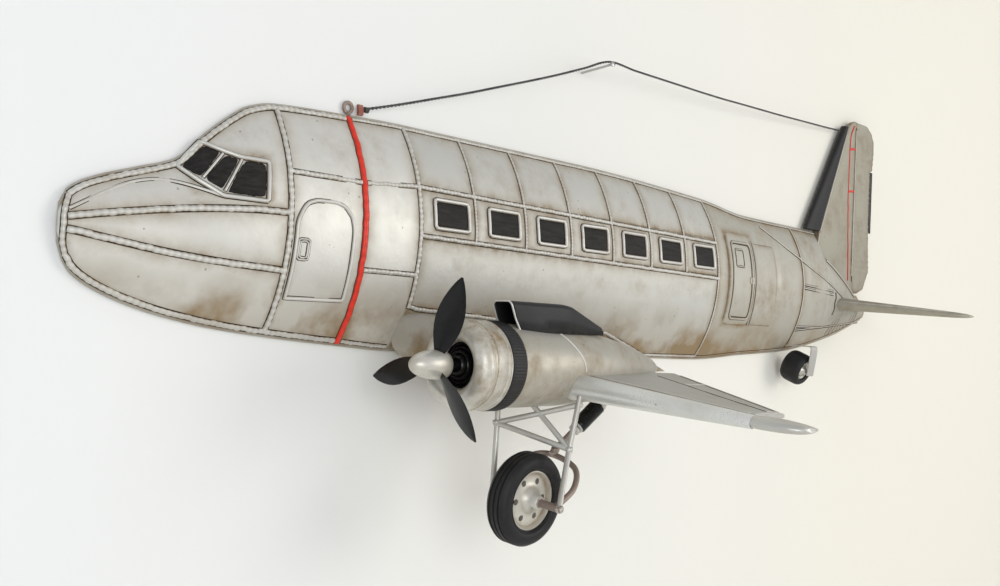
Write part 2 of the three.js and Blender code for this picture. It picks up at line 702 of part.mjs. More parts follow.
function addOuterWing() {
  const [root, tip] = [2 * noseTubeRoot, 2 * noseTubeTip];
  const panel = (front, back, out, thick) => {
    const z = wingLine(out);
    const top = thick / 2 - 0.6;
    return [
      [front, z - top], [back, z + top - 3.2], [back, z + top - 0.8], [front + 2, z + top],
      [front, z + top - 1],
    ].map(([x, height]) => new THREE.Vector3(x, -out, height));
  };
  const plate = solid(skinnedLoops([
    panel(wingFront + root + gap, wingBack, wingRootOut - 22, root),
    panel(wingTipFront + tip + gap, wingTipBack, wingPanelOut, tip),
  ]));
  add('outer_wing', largest(plate.subtract(nacelleRoom)), silver);
  const tube = (x, out, radius) => {
    const ring = [];
    for (let i = 0; i < 12; i += 1) {
      const angle = (2 * Math.PI * i) / 12;
      const [along, up] = [radius * Math.cos(angle), radius * Math.sin(angle)];
      ring.push(new THREE.Vector3(x + radius + along, -out, wingLine(out) + up));
    }
    return ring;
  };
  const nose = solid(skinnedLoops([
    tube(wingFront - 1, wingRootOut - 12, noseTubeRoot), tube(wingTipFront, wingPanelOut, noseTubeTip),
  ]));
  add('wing_nose_tube', largest(nose.subtract(nacelleRoom)), silver);
  const cap = [0, 0.35, 0.7, 0.92, 1].map((share) => {
    const out = wingPanelOut + gap + share * (wingTipOut - wingPanelOut);
    const round = Math.sqrt(1 - share * share * 0.96);
    const front = wingTipFront + (1 - round) * 22 + 2;
    const back = wingTipBack - (1 - round) * 26;
    return wingSection(front, back, out, wingLine(out), tip * (0.35 + 0.6 * round), 1.6);
  });
  add('wing_tip', skinnedLoops(cap), silver);
}

// A round bar between two points, and a bent one through several.
function bar(from, to, radius, sides = 8) {
  const start = new THREE.Vector3(...from);
  const end = new THREE.Vector3(...to);
  const geometry = new THREE.CylinderGeometry(radius, radius, start.distanceTo(end), sides);
  const along = end.clone().sub(start).normalize();
  geometry.applyQuaternion(new THREE.Quaternion().setFromUnitVectors(new THREE.Vector3(0, 1, 0), along));
  return geometry.translate(...start.add(end).multiplyScalar(0.5).toArray());
}

function bentBar(points, radius, sides, steps, tension = 0.5) {
  const corners = points.map((p) => new THREE.Vector3(...p));
  const path = new THREE.CatmullRomCurve3(corners, false, 'catmullrom', tension);
  const ring = new THREE.Shape();
  for (let i = 0; i < sides; i += 1) {
    const angle = (2 * Math.PI * i) / sides;
    const [u, v] = [radius * Math.cos(angle), radius * Math.sin(angle)];
    if (i === 0) ring.moveTo(u, v);
    else ring.lineTo(u, v);
  }
  return new THREE.ExtrudeGeometry(ring, { steps, bevelEnabled: false, extrudePath: path });
}

// The wheel's own axis leans down a little as it leaves the wall.
const axleLine = new THREE.Vector3(0, -Math.cos(wheelCant), -Math.sin(wheelCant));
const wheelCentre = new THREE.Vector3(wheelStation, -wheelOut, wheelHeight);

function alongAxle(distance) {
  return wheelCentre.clone().addScaledVector(axleLine, distance).toArray();
}

// A body of revolution about the axle, from [distance out, radius] pairs.
function onAxle(profile, sides, line, centre) {
  const points = profile.map(([out, radius]) => new THREE.Vector2(Math.max(radius, 0), out));
  const geometry = new THREE.LatheGeometry(points, sides);
  geometry.applyQuaternion(new THREE.Quaternion().setFromUnitVectors(new THREE.Vector3(0, 1, 0), line));
  return geometry.translate(centre.x, centre.y, centre.z);
}

function addUndercarriage() {
  const axleShape = onAxle([[axleIn, 0], [axleIn, axleRadius], [axleOut, axleRadius], [axleOut, 0]], 12,
    axleLine, wheelCentre);
  add('axle', axleShape, tan);
  const axleRoom = solid(onAxle([[axleIn - gap, 0], [axleIn - gap, axleRadius + gap],
    [axleOut + gap, axleRadius + gap], [axleOut + gap, 0]], 12, axleLine, wheelCentre));

  const legTop = engineHeight - cowlRadius + 8;
  const [inX, inY] = [wheelStation - 9, -wheelOut + 31];
  const [outX, outY] = [wheelStation + 24, -wheelOut - 29];
  const fork = [inX, inY, engineHeight - 53];
  const knee = [outX, outY, engineHeight - 73];
  const outEnd = alongAxle(axleOut - 3);
  const tubes = [
    [[inX + 2, inY, legTop], [inX - 1, inY, wheelHeight + 4]],
    [[inX - 1, inY, wheelHeight + 4], alongAxle(axleIn + 3)],
    [[outX + 13, outY, wingHeight - noseTubeRoot + 1], knee],
    [knee, outEnd],
    [fork, [outX + 13, outY, wingHeight - noseTubeRoot - 4]],
    [fork, knee],
    [[wheelStation + 12, -engineOut, legTop - 6], knee],
  ];
  let frame = solid(bar(...tubes[0], tubeRadius));
  for (const tube of tubes.slice(1)) frame = frame.add(solid(bar(...tube, tubeRadius)));
  const noseRoom = solid(bar([wingFront + noseTubeRoot - 1, -wingRootOut + 12, wingLine(wingRootOut - 12)],
    [wingTipFront + noseTubeTip, -wingPanelOut, wingLine(wingPanelOut)], noseTubeRoot + gap, 16));
  add('gear_frame', largest(frame.subtract(nacelleRoom).subtract(axleRoom).subtract(noseRoom)), silver);
  const frameRoom = solid(bar(...tubes[0], tubeRadius + gap));
  let room = frameRoom;
  for (const tube of tubes.slice(1)) room = room.add(solid(bar(...tube, tubeRadius + gap)));

  const [bx, by, bz] = [wheelStation + 49, -wheelOut, wheelHeight + 33];
  const bow = bentBar([
    alongAxle(axleIn + 7), [wheelStation + 26, -wheelOut + 26, wheelHeight + 30], [bx - 3, by + 14, bz + 4],
    [bx, by - 16, bz - 6], [wheelStation + 33, -wheelOut - 29, wheelHeight + 10], alongAxle(axleOut - 8),
  ], 2.8, 8, 22);
  const shockFoot = [bx - 5, by + 4, bz + 8];
  const shockHead = [wheelStation + 94, -wheelOut - 10, wingHeight - noseTubeRoot - 4];
  const at = (share) => shockFoot.map((value, i) => value + (shockHead[i] - value) * share);
  const rod = solid(bar(at(-0.08), at(0.42), 3));
  const bowSolid = solid(bow).add(rod).subtract(axleRoom).subtract(room);
  add('fork_tube', largest(bowSolid), tan);
  const collars = solid(bar(at(0.42 + 0.01), at(0.5), 5.5, 12));
  const boot = collars.add(solid(bar(at(0.49), at(0.93), 8, 12))).add(solid(bar(at(0.92), at(1.06), 6, 12)));
  add('shock_boot', largest(boot.subtract(nacelleRoom)), blackSatin);

  const w = wheelWidth / 2;
  const r = wheelRadius;
  const bore = axleRadius + gap;
  add('wheel_disc', onAxle([
    [-w + 5, bore], [-w + 5, 8], [-w + 8, discRadius - 3], [-w + 4, discRadius], [w - 4, discRadius],
    [w - 8, discRadius - 3], [w - 5, 9], [w + 6, 6], [w + 6, bore], [-w + 5, bore],
  ], 24, axleLine, wheelCentre), brightSilver);
  const inner = discRadius + gap;
  add('tyre', onAxle([
    [-w + 3, inner], [-w, inner + 5], [-w + 2, r - 5], [-w + 7, r - 0.5], [0, r], [w - 7, r - 0.5],
    [w - 2, r - 5], [w, inner + 5], [w - 3, inner], [-w + 3, inner],
  ], 28, axleLine, wheelCentre), rubber);
}

// A plate that stands in the plane of the wall, between two depths.
function standing(outline, near, far) {
  return throughCut(outline, [], near, far);
}

function addFin() {
  const back = hemDepth + 1;
  const front = back + finThickness;
  const foot = (x) => finFoot(x) + gap;
  const bootFoot = finCorner + 8 + gap;
  const lead = hingeStation - 46;
  const fin = [
    [finCorner + gap, foot(finCorner)], [hingeStation + 8, foot(hingeStation + 8)],
    [hingeStation, 0.26 * half], [hingeStation, finTop], [hingeStation - 14, finTop - 3],
    [lead + 17, finTop - 12], [bootFoot, 0.8 * half],
  ];
  add('fin', standing(fin, back, front), silver);
  const foreFoot = [finFront, 0.8 * half + gap + 3];
  const boot = (out, inset, low) => [[foreFoot[0] + inset, low], [bootFoot - gap - 1, low],
    [lead + 17 - gap - 1, finTop - 12], [lead + 5 + inset * 0.5, finTop - 11]]
    .map(([x, z]) => new THREE.Vector3(x, -out, z));
  const foot0 = foreFoot[1];
  add('fin_boot', skinnedLoops([boot(back - 1, 2, foot0), boot(back + 2, 0, foot0), boot(front - 1, 2, foot0),
    boot(front + 2, 9, foot0)]), blackSatin);
  const edge = hingeStation + gap;
  const tabLow = 0.37 * finTop;
  const tabHigh = 0.74 * finTop;
  const right = bodyEnd + 6;
  const rudder = [
    [hingeStation + 8 + gap, finFoot(hingeStation + 8) + 2], [right - 22, 10], [right - 4, tabLow - 60],
    [right - tabWidth, tabLow], [right - tabWidth, tabHigh], [right - 2, tabHigh], [right + 2, finTop - 40],
    [right + 1, finTop - 22], [right - 10, finTop - 8], [right - 30, finTop], [edge, finTop],
    [edge, 0.26 * half],
  ];
  add('rudder', standing(rudder, back + 1, front - 1), silver);
  const tab = rectangle(right - tabWidth + gap, right, tabLow + gap, tabHigh - gap);
  add('rudder_tab', standing(tab, back + 2, front - 2), blackGloss);
}

function addTailplane() {
  const line = (out) => tailplaneHeight - tailplaneDroop * (out - 20);
  const cuts = [
    [8, coneStart + 112, coneStart + 236, 22], [tailplaneOut - 20, coneStart + 165, coneStart + 204, 9],
    [tailplaneOut - 6, coneStart + 171, coneStart + 201, 6.5],
    [tailplaneOut, coneStart + 179, coneStart + 194, 4],
  ];
  const loops = cuts.map(([out, front, back, thick]) => wingSection(front, back, out, line(out), thick, 1.6));
  const shape = solid(skinnedLoops(loops));
  add('tailplane', largest(shape.subtract(bodyRoom)), silver);
}

// The tail wheel leans outwards under a bent strip that comes down from the skin.
function addTailWheel() {
  const line = new THREE.Vector3(0, -Math.cos(tailWheelCant), -Math.sin(tailWheelCant));
  const centre = new THREE.Vector3(tailWheelStation, -tailWheelOut, tailWheelHeight);
  const w = tailWheelWidth / 2;
  const r = tailWheelRadius;
  const hub = tailHubRadius;
  const inner = hub + gap;
  add('tail_tyre', onAxle([
    [-w + 3, inner], [-w, inner + 3], [-w + 3, r - 3], [-w + 9, r], [w - 9, r], [w - 3, r - 3],
    [w, inner + 3], [w - 3, inner], [-w + 3, inner],
  ], 22, line, centre), rubber);
  const bore = 2 + gap;
  add('tail_hub', onAxle([
    [-w + 4, bore], [-w + 4, hub], [w - 4, hub], [w - 5, hub - 3], [w - 2, 5], [w + 1, 4], [w + 1, bore],
    [-w + 4, bore],
  ], 16, line, centre), brightSilver);
  const end = centre.clone().addScaledVector(line, w + 6);
  const start = centre.clone().addScaledVector(line, -w - 2);
  const axle = solid(bar(start.toArray(), end.toArray(), 2, 10));
  const roof = tailWheelHeight + r + 8;
  const reach = tailWheelOut + w + r * Math.sin(tailWheelCant) + 4;
  const strip = new THREE.Shape([
    [0, roof], [reach, roof], [-end.y + 0.8, end.z - 3], [-end.y - 0.8, end.z - 3], [reach - 1.8, roof - 1.6],
    [0, roof - 1.6],
  ].map(([out, z]) => new THREE.Vector2(-out, z)));
  const width = 18;
  const bracket = new THREE.ExtrudeGeometry(strip, { depth: width, bevelEnabled: false });
  bracket.rotateX(Math.PI / 2).rotateZ(Math.PI / 2).translate(tailWheelStation - width / 2, 0, 0);
  add('tail_bracket', largest(solid(bracket).add(axle).subtract(bodyRoom)), silver);
}

// The wire's route, up from the tab, over the nail just behind its head, and down to the fin's front edge:
// each point is a share of its half of the way, a distance out, and a height above the cabin roof.
const tabToNail = [
  [0, 6, 8], [0.125, 10, 19.5], [0.25, 14, 32], [0.375, 18, 44.5], [0.5, 22, 58], [0.625, 26, 71.5],
  [0.75, 30, 85.5], [0.875, 34, 100.5], [1, 38, 115.6],
];
const nailToFin = [
  [0.083, 35.5, 116.5], [0.167, 33, 118], [0.25, 30.5, 119.5], [0.333, 28, 121], [0.417, 25.5, 123],
  [0.5, 23.5, 125.5], [0.583, 21, 128], [0.667, 18.5, 130.5], [0.75, 16, 133.5], [0.833, 13.5, 136.5],
  [0.917, 11, 139.5], [1, 8.5, 143],
];
const wireStart = tabStation + 4;
const wireEnd = hingeStation - 51;
const stretched = (points, from, to) => points.map(([share, out, rise]) => [
  from + share * (to - from), -out, half + rise,
]);
const wireRoute = [
  ...stretched(tabToNail, wireStart, nailStation), ...stretched(nailToFin, nailStation, wireEnd),
];
const wireSteps = 80;

function addHanging() {
  const head = 3.2;
  const lean = Math.atan(nailRise);
  const nail = new THREE.LatheGeometry([
    [0, 0], [nailRadius, 0], [nailRadius, nailLength - 1.5], [head, nailLength - 1.2], [head, nailLength],
    [0, nailLength],
  ].map(([radius, along]) => new THREE.Vector2(radius, along)), 12);
  nail.rotateX(Math.PI - lean).translate(nailStation, 0, nailHeight);
  add('wall_nail', nail, steel);
  const rise = topEdge(eyeStation) + hemOverhang;
  const ring = (radius) => Array.from({ length: 16 }, (_, i) => {
    const angle = (2 * Math.PI * i) / 16;
    return [eyeStation + radius * Math.cos(angle), rise + 6.7 + radius * Math.sin(angle)];
  });
  add('hanging_eye', throughCut(ring(6.3), [ring(3.2)], 0.5, 2.5), tan);
  const tabFoot = topEdge(tabStation) + hemOverhang + gap;
  add('wire_tab', standing(rectangle(tabStation - 3, tabStation + 3, tabFoot, tabFoot + 10), 4, 7), primer);
  add('hanging_wire', bentBar(wireRoute, wireRadius, 8, wireSteps), blackSatin);
}

addSkins();
addRims();
addWallStrap('wall_strap_front', cabinStart + 20);
addWallStrap('wall_strap_middle', nailStation);
addWallStrap('wall_strap_rear', coneStart - 97);
addBeads();
addWindows();
addWindscreen();
addDoors();
addEngine();
addPropeller();
addScoop();
addWingStub();
addOuterWing();
addUndercarriage();
addFin();
addTailplane();
addTailWheel();
addHanging();
group.position.x = -nailStation;

export default group;
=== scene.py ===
# %% [markdown]
# # A tin airliner that hangs on a wall
# The real thing is a half-relief: thin sheet metal beaten over formers, with every seam run with solder
# beads, then sprayed silver and rubbed with brown stain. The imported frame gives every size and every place
# that something turns. This lesson puts a finer, hand-made surface over that frame, one piece at a time.

# %% Load the frame
import math
import random

import bmesh
import bpy
from mathutils import Matrix, Vector, noise


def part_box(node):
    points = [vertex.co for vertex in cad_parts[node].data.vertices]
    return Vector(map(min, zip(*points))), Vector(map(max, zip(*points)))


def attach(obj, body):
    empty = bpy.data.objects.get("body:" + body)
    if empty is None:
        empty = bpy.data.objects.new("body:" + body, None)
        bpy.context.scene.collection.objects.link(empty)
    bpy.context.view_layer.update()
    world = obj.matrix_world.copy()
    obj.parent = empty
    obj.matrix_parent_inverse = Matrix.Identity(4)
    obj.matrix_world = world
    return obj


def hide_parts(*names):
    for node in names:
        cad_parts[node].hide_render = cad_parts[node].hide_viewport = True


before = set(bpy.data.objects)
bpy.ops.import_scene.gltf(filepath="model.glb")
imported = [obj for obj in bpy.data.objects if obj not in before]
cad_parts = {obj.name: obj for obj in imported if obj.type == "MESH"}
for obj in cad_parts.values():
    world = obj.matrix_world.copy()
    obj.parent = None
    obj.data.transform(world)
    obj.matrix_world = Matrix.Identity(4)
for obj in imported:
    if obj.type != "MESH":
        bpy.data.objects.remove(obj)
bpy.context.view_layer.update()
MM = 0.001
nail_station = 612
rng = random.Random(7)


# %% [markdown]
# ## Stations, outs and heights
# An aircraft is measured by stations counted back from the nose, so the maker's numbers here are
# millimetres: a station along the body, how far out from the wall, and a height above the datum line.
# One helper turns such a triple into a point of the frame, and the ribs' stations are read from the frame.

# %% Stations
def at(station, out, height):
    """The point of the frame, in metres, at a station, a distance out from the wall and a height."""
    return Vector(((station - nail_station) * MM, -out * MM, height * MM))


def station_of(x):
    return round(x / MM + nail_station)


nose_length = station_of(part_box("door_bay_skin")[0].x)
band_station = station_of((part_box("red_band")[0].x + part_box("red_band")[1].x) / 2)
cabin_start = station_of(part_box("window_skin")[0].x)
cabin_end = station_of(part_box("aft_skin")[0].x)
cone_start = station_of(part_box("tail_cone_skin")[0].x)
body_end = station_of(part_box("tail_cone_skin")[1].x)
half = -round(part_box("lower_side_skin")[0].z / MM)
window_count = 7
window_pitch = (cabin_end - cabin_start) / window_count
upper_bead, lower_bead = 46, -1
print("ribs", nose_length, band_station, cabin_start, cabin_end, cone_start, body_end, "half", half)


# %% [markdown]
# ## The camera
# The airliner is seen from in front and below its own middle, with the nose near and the tail far away.
# The three direction lines below are the camera's right, up and back, and a lens near 42 mm gives the same
# strong perspective along the body.

# %% Camera
camera_data = bpy.data.cameras.new("camera")
camera_data.lens = 41.5
camera_data.sensor_width = 36
camera = bpy.data.objects.new("camera", camera_data)
bpy.context.scene.collection.objects.link(camera)
right = Vector((0.6690, -0.7418, 0.0461)).normalized()
back = -Vector((0.7410, 0.6705, 0.0351)).normalized()
upward = back.cross(right).normalized()
camera.matrix_world = Matrix.Translation((-1.0169, -0.8100, -0.0864)) @ Matrix(
    (right, upward, back)).transposed().to_4x4()
bpy.context.scene.camera = camera
print("camera looks along", [round(v, 3) for v in -back])


# %% [markdown]
# ## Shaping clay
# Every piece starts as rows of points that are woven into faces, as a basket is woven round its stakes.
# `Clay` collects such rows, and `piece` turns the clay into an object: it welds the seams, keeps hard creases
# sharp, rides on its body and hides the plain solid it stands for.

# %% Clay and pieces
class Clay:
    """The points and faces of a piece while it is being shaped."""

    def __init__(self):
        self.points = []
        self.faces = []
        self.seam = []

    def weave(self, rows, ring=False, loop=False, caps=False, seam=None):
        """Faces between rows of points; ring closes each row, loop joins the last row to the first."""
        first = len(self.points)
        count = len(rows[0])
        for row in rows:
            self.points.extend(row)
        self.seam.extend(seam or [0.0] * (count * len(rows)))
        for i in range(len(rows) if loop else len(rows) - 1):
            a, b = first + i * count, first + ((i + 1) % len(rows)) * count
            for j in range(count if ring else count - 1):
                k = (j + 1) % count
                self.faces.append((a + j, b + j, b + k, a + k))
        if caps:
            self.faces.append(tuple(range(first + count - 1, first - 1, -1)))
            self.faces.append(tuple(range(first + (len(rows) - 1) * count, first + len(rows) * count)))
        return self


def piece(name, clay, slot, stands_for=(), body="airframe", thickness=0.0, bevel=0.0, crease=40,
          outward=True):
    """The finished object for some clay, on its body and in its finish."""
    mesh = bpy.data.meshes.new(name)
    mesh.from_pydata([tuple(p) for p in clay.points], [], clay.faces)
    mesh.attributes.new("seam", "FLOAT", "POINT").data.foreach_set("value", clay.seam)
    form = bmesh.new()
    form.from_mesh(mesh)
    bmesh.ops.remove_doubles(form, verts=form.verts, dist=2e-6)
    if outward:
        bmesh.ops.recalc_face_normals(form, faces=form.faces)
    form.to_mesh(mesh)
    form.free()
    mesh.shade_smooth()
    mesh.set_sharp_from_angle(angle=math.radians(crease))
    obj = bpy.data.objects.new(name, mesh)
    bpy.context.scene.collection.objects.link(obj)
    mesh.materials.append(finishes[slot])
    if thickness:
        sheet = obj.modifiers.new("sheet", "SOLIDIFY")
        sheet.thickness = thickness * MM
        sheet.offset = -1
    if bevel:
        edge = obj.modifiers.new("rounded edge", "BEVEL")
        edge.width = bevel * MM
        edge.segments = 2
        edge.limit_method = "ANGLE"
        edge.angle_limit = math.radians(crease)
    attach(obj, body)
    if stands_for:
        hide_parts(*([stands_for] if isinstance(stands_for, str) else stands_for))
    return obj


def smooth_line(points, steps):
    """A smooth run of points through a few chosen ones."""
    line = []
    for i in range(len(points) - 1):
        before, here = points[max(i - 1, 0)], points[i]
        there, after = points[i + 1], points[min(i + 2, len(points) - 1)]
        for k in range(steps):
            t = k / steps
            line.append(0.5 * (2 * here + (there - before) * t
                               + (2 * before - 5 * here + 4 * there - after) * t * t
                               + (3 * here - before - 3 * there + after) * t ** 3))
    line.append(points[-1])
    return line


def sides_of(path):
    """Two directions square to a path at each of its points, without twist along the way."""
    made = []
    across = None
    for i in range(len(path)):
        along = (path[min(i + 1, len(path) - 1)] - path[max(i - 1, 0)]).normalized()
        if across is None:
            across = along.orthogonal().normalized()
        across = (across - along * across.dot(along)).normalized()
        made.append((across, along.cross(across)))
    return made


def tube(clay, path, radius, sides=16):
    """A round bar along a path; radius is one number or a list with one for each point, in millimetres."""
    radii = radius if isinstance(radius, list) else [radius] * len(path)
    rows = []
    for point, (u, v), r in zip(path, sides_of(path), radii):
        turn = [2 * math.pi * k / sides for k in range(sides)]
        rows.append([point + (u * math.cos(a) + v * math.sin(a)) * r * MM for a in turn])
    return clay.weave(rows, ring=True, caps=True)


def turned(clay, profile, centre, axis, sides=64, ripple=None, worn=None):
    """A body turned on a lathe, from (distance along the axis, radius) pairs in millimetres.

    ripple moves the radius by angle and distance; worn says how much stain each ring of the profile holds.
    """
    axis = Vector(axis).normalized()
    u = axis.orthogonal().normalized()
    v = axis.cross(u)
    rows, seams = [], []
    for along, radius in profile:
        seams += [worn(along, radius) if worn else 0.0] * sides
        ring = []
        for k in range(sides):
            a = 2 * math.pi * k / sides
            r = max(radius, 0) + (ripple(a, along) if ripple else 0)
            ring.append(centre + (axis * along + (u * math.cos(a) + v * math.sin(a)) * r) * MM)
        rows.append(ring)
    return clay.weave(rows, ring=True, seam=seams)


def linear(knots):
    """A broken line through (input, output) pairs."""
    def line(x):
        for (x0, y0), (x1, y1) in zip(knots, knots[1:]):
            if x <= x1:
                return y0 + (y1 - y0) * min(max((x - x0) / max(x1 - x0, 1e-9), 0), 1)
        return knots[-1][1]
    return line


print("clay is ready")


# %% [markdown]
# ## Effects that several finishes share
# Old sprayed silver shows the same few things everywhere: a cloudy brown stain that lies in the seams, a brown
# that grows towards the bottom of the body, a fine flake grain, soft brushed streaks, rubbed edges and tiny
# dark specks. Each is a node group with its own inputs, so that every finish can use it with its own strength.

# %% Shared node groups
def new_group(name, inputs, outputs):
    """An empty node group with named sockets, and its input and output nodes."""
    tree = bpy.data.node_groups.new(name, "ShaderNodeTree")
    kinds = {float: "NodeSocketFloat", tuple: "NodeSocketColor"}
    for label, value in inputs.items():
        socket = tree.interface.new_socket(label, in_out="INPUT", socket_type=kinds[type(value)])
        socket.default_value = value
    for label, kind in outputs.items():
        tree.interface.new_socket(label, in_out="OUTPUT", socket_type=kinds[kind])
    return tree, tree.nodes.new("NodeGroupInput").outputs, tree.nodes.new("NodeGroupOutput").inputs


def node(tree, kind, inputs=None, **settings):
    """A node whose inputs are set to values, or linked where they are another node's output."""
    made = tree.nodes.new(kind)
    for key, value in settings.items():
        setattr(made, key, value)
    for key, value in (inputs or {}).items():
        if isinstance(value, bpy.types.NodeSocket):
            tree.links.new(value, made.inputs[key])
        else:
            made.inputs[key].default_value = value
    return made


def maths(tree, operation, a, b=0.0, clamp=False):
    return node(tree, "ShaderNodeMath", {0: a, 1: b}, operation=operation, use_clamp=clamp).outputs[0]


def spread(tree, value, low, high, to_low=0.0, to_high=1.0):
    """A value stretched from one range to another, held inside it."""
    inputs = {"Value": value, "From Min": low, "From Max": high, "To Min": to_low, "To Max": to_high}
    return node(tree, "ShaderNodeMapRange", inputs).outputs["Result"]


def blend(tree, share, a, b, kind="MIX"):
    made = node(tree, "ShaderNodeMix", data_type="RGBA", blend_type=kind)
    for place, value in ((0, share), (6, a), (7, b)):
        if isinstance(value, bpy.types.NodeSocket):
            tree.links.new(value, made.inputs[place])
        else:
            made.inputs[place].default_value = value
    return made.outputs[2]


def cloud(tree, place, scale, detail=3.0, roughness=0.55):
    inputs = {"Vector": place, "Scale": scale, "Detail": detail, "Roughness": roughness}
    return node(tree, "ShaderNodeTexNoise", inputs).outputs["Fac"]


def own_place(tree):
    return node(tree, "ShaderNodeTexCoord").outputs["Object"]


# Brown stain: thick where the seam attribute is high and cloudy everywhere; the same brown also grows towards
# the bottom of the body.
stain, given, gives = new_group(
    "brown stain",
    {"Clean": (0.6, 0.6, 0.6, 1.0), "Stain": (0.2, 0.13, 0.07, 1.0), "Seams": 1.0, "Low down": 1.0,
     "Clouds": 0.3}, {"Colour": tuple, "Mask": float})
place = own_place(stain)
seam = node(stain, "ShaderNodeAttribute", attribute_name="seam").outputs["Fac"]
height = node(stain, "ShaderNodeSeparateXYZ", {0: place}).outputs["Z"]
clouds = spread(stain, cloud(stain, place, 16.0, 4.0), 0.38, 0.72)
patches = spread(stain, cloud(stain, place, 55.0, 5.0, 0.65), 0.3, 0.7)
in_seams = maths(stain, "MULTIPLY", maths(stain, "MULTIPLY", seam, given["Seams"]),
                 maths(stain, "ADD", maths(stain, "MULTIPLY", patches, 0.7), 0.35))
low = maths(stain, "MULTIPLY", spread(stain, height, -0.035, -0.1), given["Low down"])
low = maths(stain, "MULTIPLY", low, maths(stain, "ADD", maths(stain, "MULTIPLY", clouds, 0.75), 0.25))
cloudy = maths(stain, "MULTIPLY", maths(stain, "MULTIPLY", clouds, patches), given["Clouds"])
mask = maths(stain, "MAXIMUM", maths(stain, "MAXIMUM", in_seams, low), cloudy, clamp=True)
stain.links.new(mask, gives["Mask"])
stain.links.new(blend(stain, mask, given["Clean"], given["Stain"]), gives["Colour"])

# Sprayed flake: a fine sparkle for the roughness, and the faint orange peel of a sprayed coat.
flake, given, gives = new_group("sprayed flake", {"Flake": 0.1, "Peel": 1.0},
                                {"Grain": float, "Height": float})
place = own_place(flake)
grain = spread(flake, cloud(flake, place, 1400.0, 2.0, 0.7), 0.3, 0.7, -1.0, 1.0)
flake.links.new(maths(flake, "MULTIPLY", grain, given["Flake"]), gives["Grain"])
peel = maths(flake, "ADD", cloud(flake, place, 260.0, 2.0),
             maths(flake, "MULTIPLY", cloud(flake, place, 30.0), 2.5))
flake.links.new(maths(flake, "MULTIPLY", peel, given["Peel"]), gives["Height"])

# Rubbed edges: raised corners polish bright as hands and cloths pass over them.
rubbed, given, gives = new_group("rubbed edges", {"Start": 0.53, "Strength": 0.6}, {"Mask": float})
point = node(rubbed, "ShaderNodeNewGeometry").outputs["Pointiness"]
edge = spread(rubbed, point, given["Start"], maths(rubbed, "ADD", given["Start"], 0.09))
broken = spread(rubbed, cloud(rubbed, own_place(rubbed), 120.0, 4.0), 0.3, 0.65)
rubbed.links.new(maths(rubbed, "MULTIPLY", maths(rubbed, "MULTIPLY", edge, broken), given["Strength"]),
                 gives["Mask"])

# Specks: a few dark pinpricks of dirt, never in rows.
specks, given, gives = new_group("dark specks", {"Spacing": 90.0, "Size": 0.1, "Strength": 0.6},
                                 {"Mask": float})
place = own_place(specks)
cells = node(specks, "ShaderNodeTexVoronoi", {"Vector": place, "Scale": given["Spacing"], "Randomness": 1.0})
dot = maths(specks, "LESS_THAN", cells.outputs["Distance"], given["Size"])
rare = maths(specks, "GREATER_THAN", cloud(specks, place, 45.0, 2.0), 0.56)
specks.links.new(maths(specks, "MULTIPLY", maths(specks, "MULTIPLY", dot, rare), given["Strength"]),
                 gives["Mask"])

# Brush marks: long soft streaks left by a loaded brush or a polishing cloth.
brushed, given, gives = new_group("brush marks", {"Across": 300.0, "Along": 40.0, "Depth": 1.0},
                                  {"Height": float, "Mask": float})
stretch = node(brushed, "ShaderNodeCombineXYZ",
               {0: given["Along"], 1: given["Across"], 2: given["Across"]}).outputs[0]
lined = node(brushed, "ShaderNodeVectorMath", {0: own_place(brushed), 1: stretch},
             operation="MULTIPLY").outputs[0]
streaks = cloud(brushed, lined, 1.0, 3.0, 0.6)
brushed.links.new(maths(brushed, "MULTIPLY", streaks, given["Depth"]), gives["Height"])
brushed.links.new(spread(brushed, streaks, 0.35, 0.65), gives["Mask"])
print("node groups", [g.name for g in bpy.data.node_groups])


# %% [markdown]
# ## The finishes
# One recipe covers the whole object, as one maker's bench would: a paint with its own colour and shine,
# stained, rubbed, specked and streaked by different amounts. Silver paint is part metal and part haze, so
# its metal value stays below one; gloss black has a clear coat; rubber has neither.

# %% Finishes
def use(tree, group, **inputs):
    made = tree.nodes.new("ShaderNodeGroup")
    made.node_tree = group
    for key, value in inputs.items():
        label = key.replace("_", " ")
        if isinstance(value, bpy.types.NodeSocket):
            tree.links.new(value, made.inputs[label])
        else:
            made.inputs[label].default_value = value
    return made.outputs


def colour(r, g, b):
    return (r, g, b, 1.0)


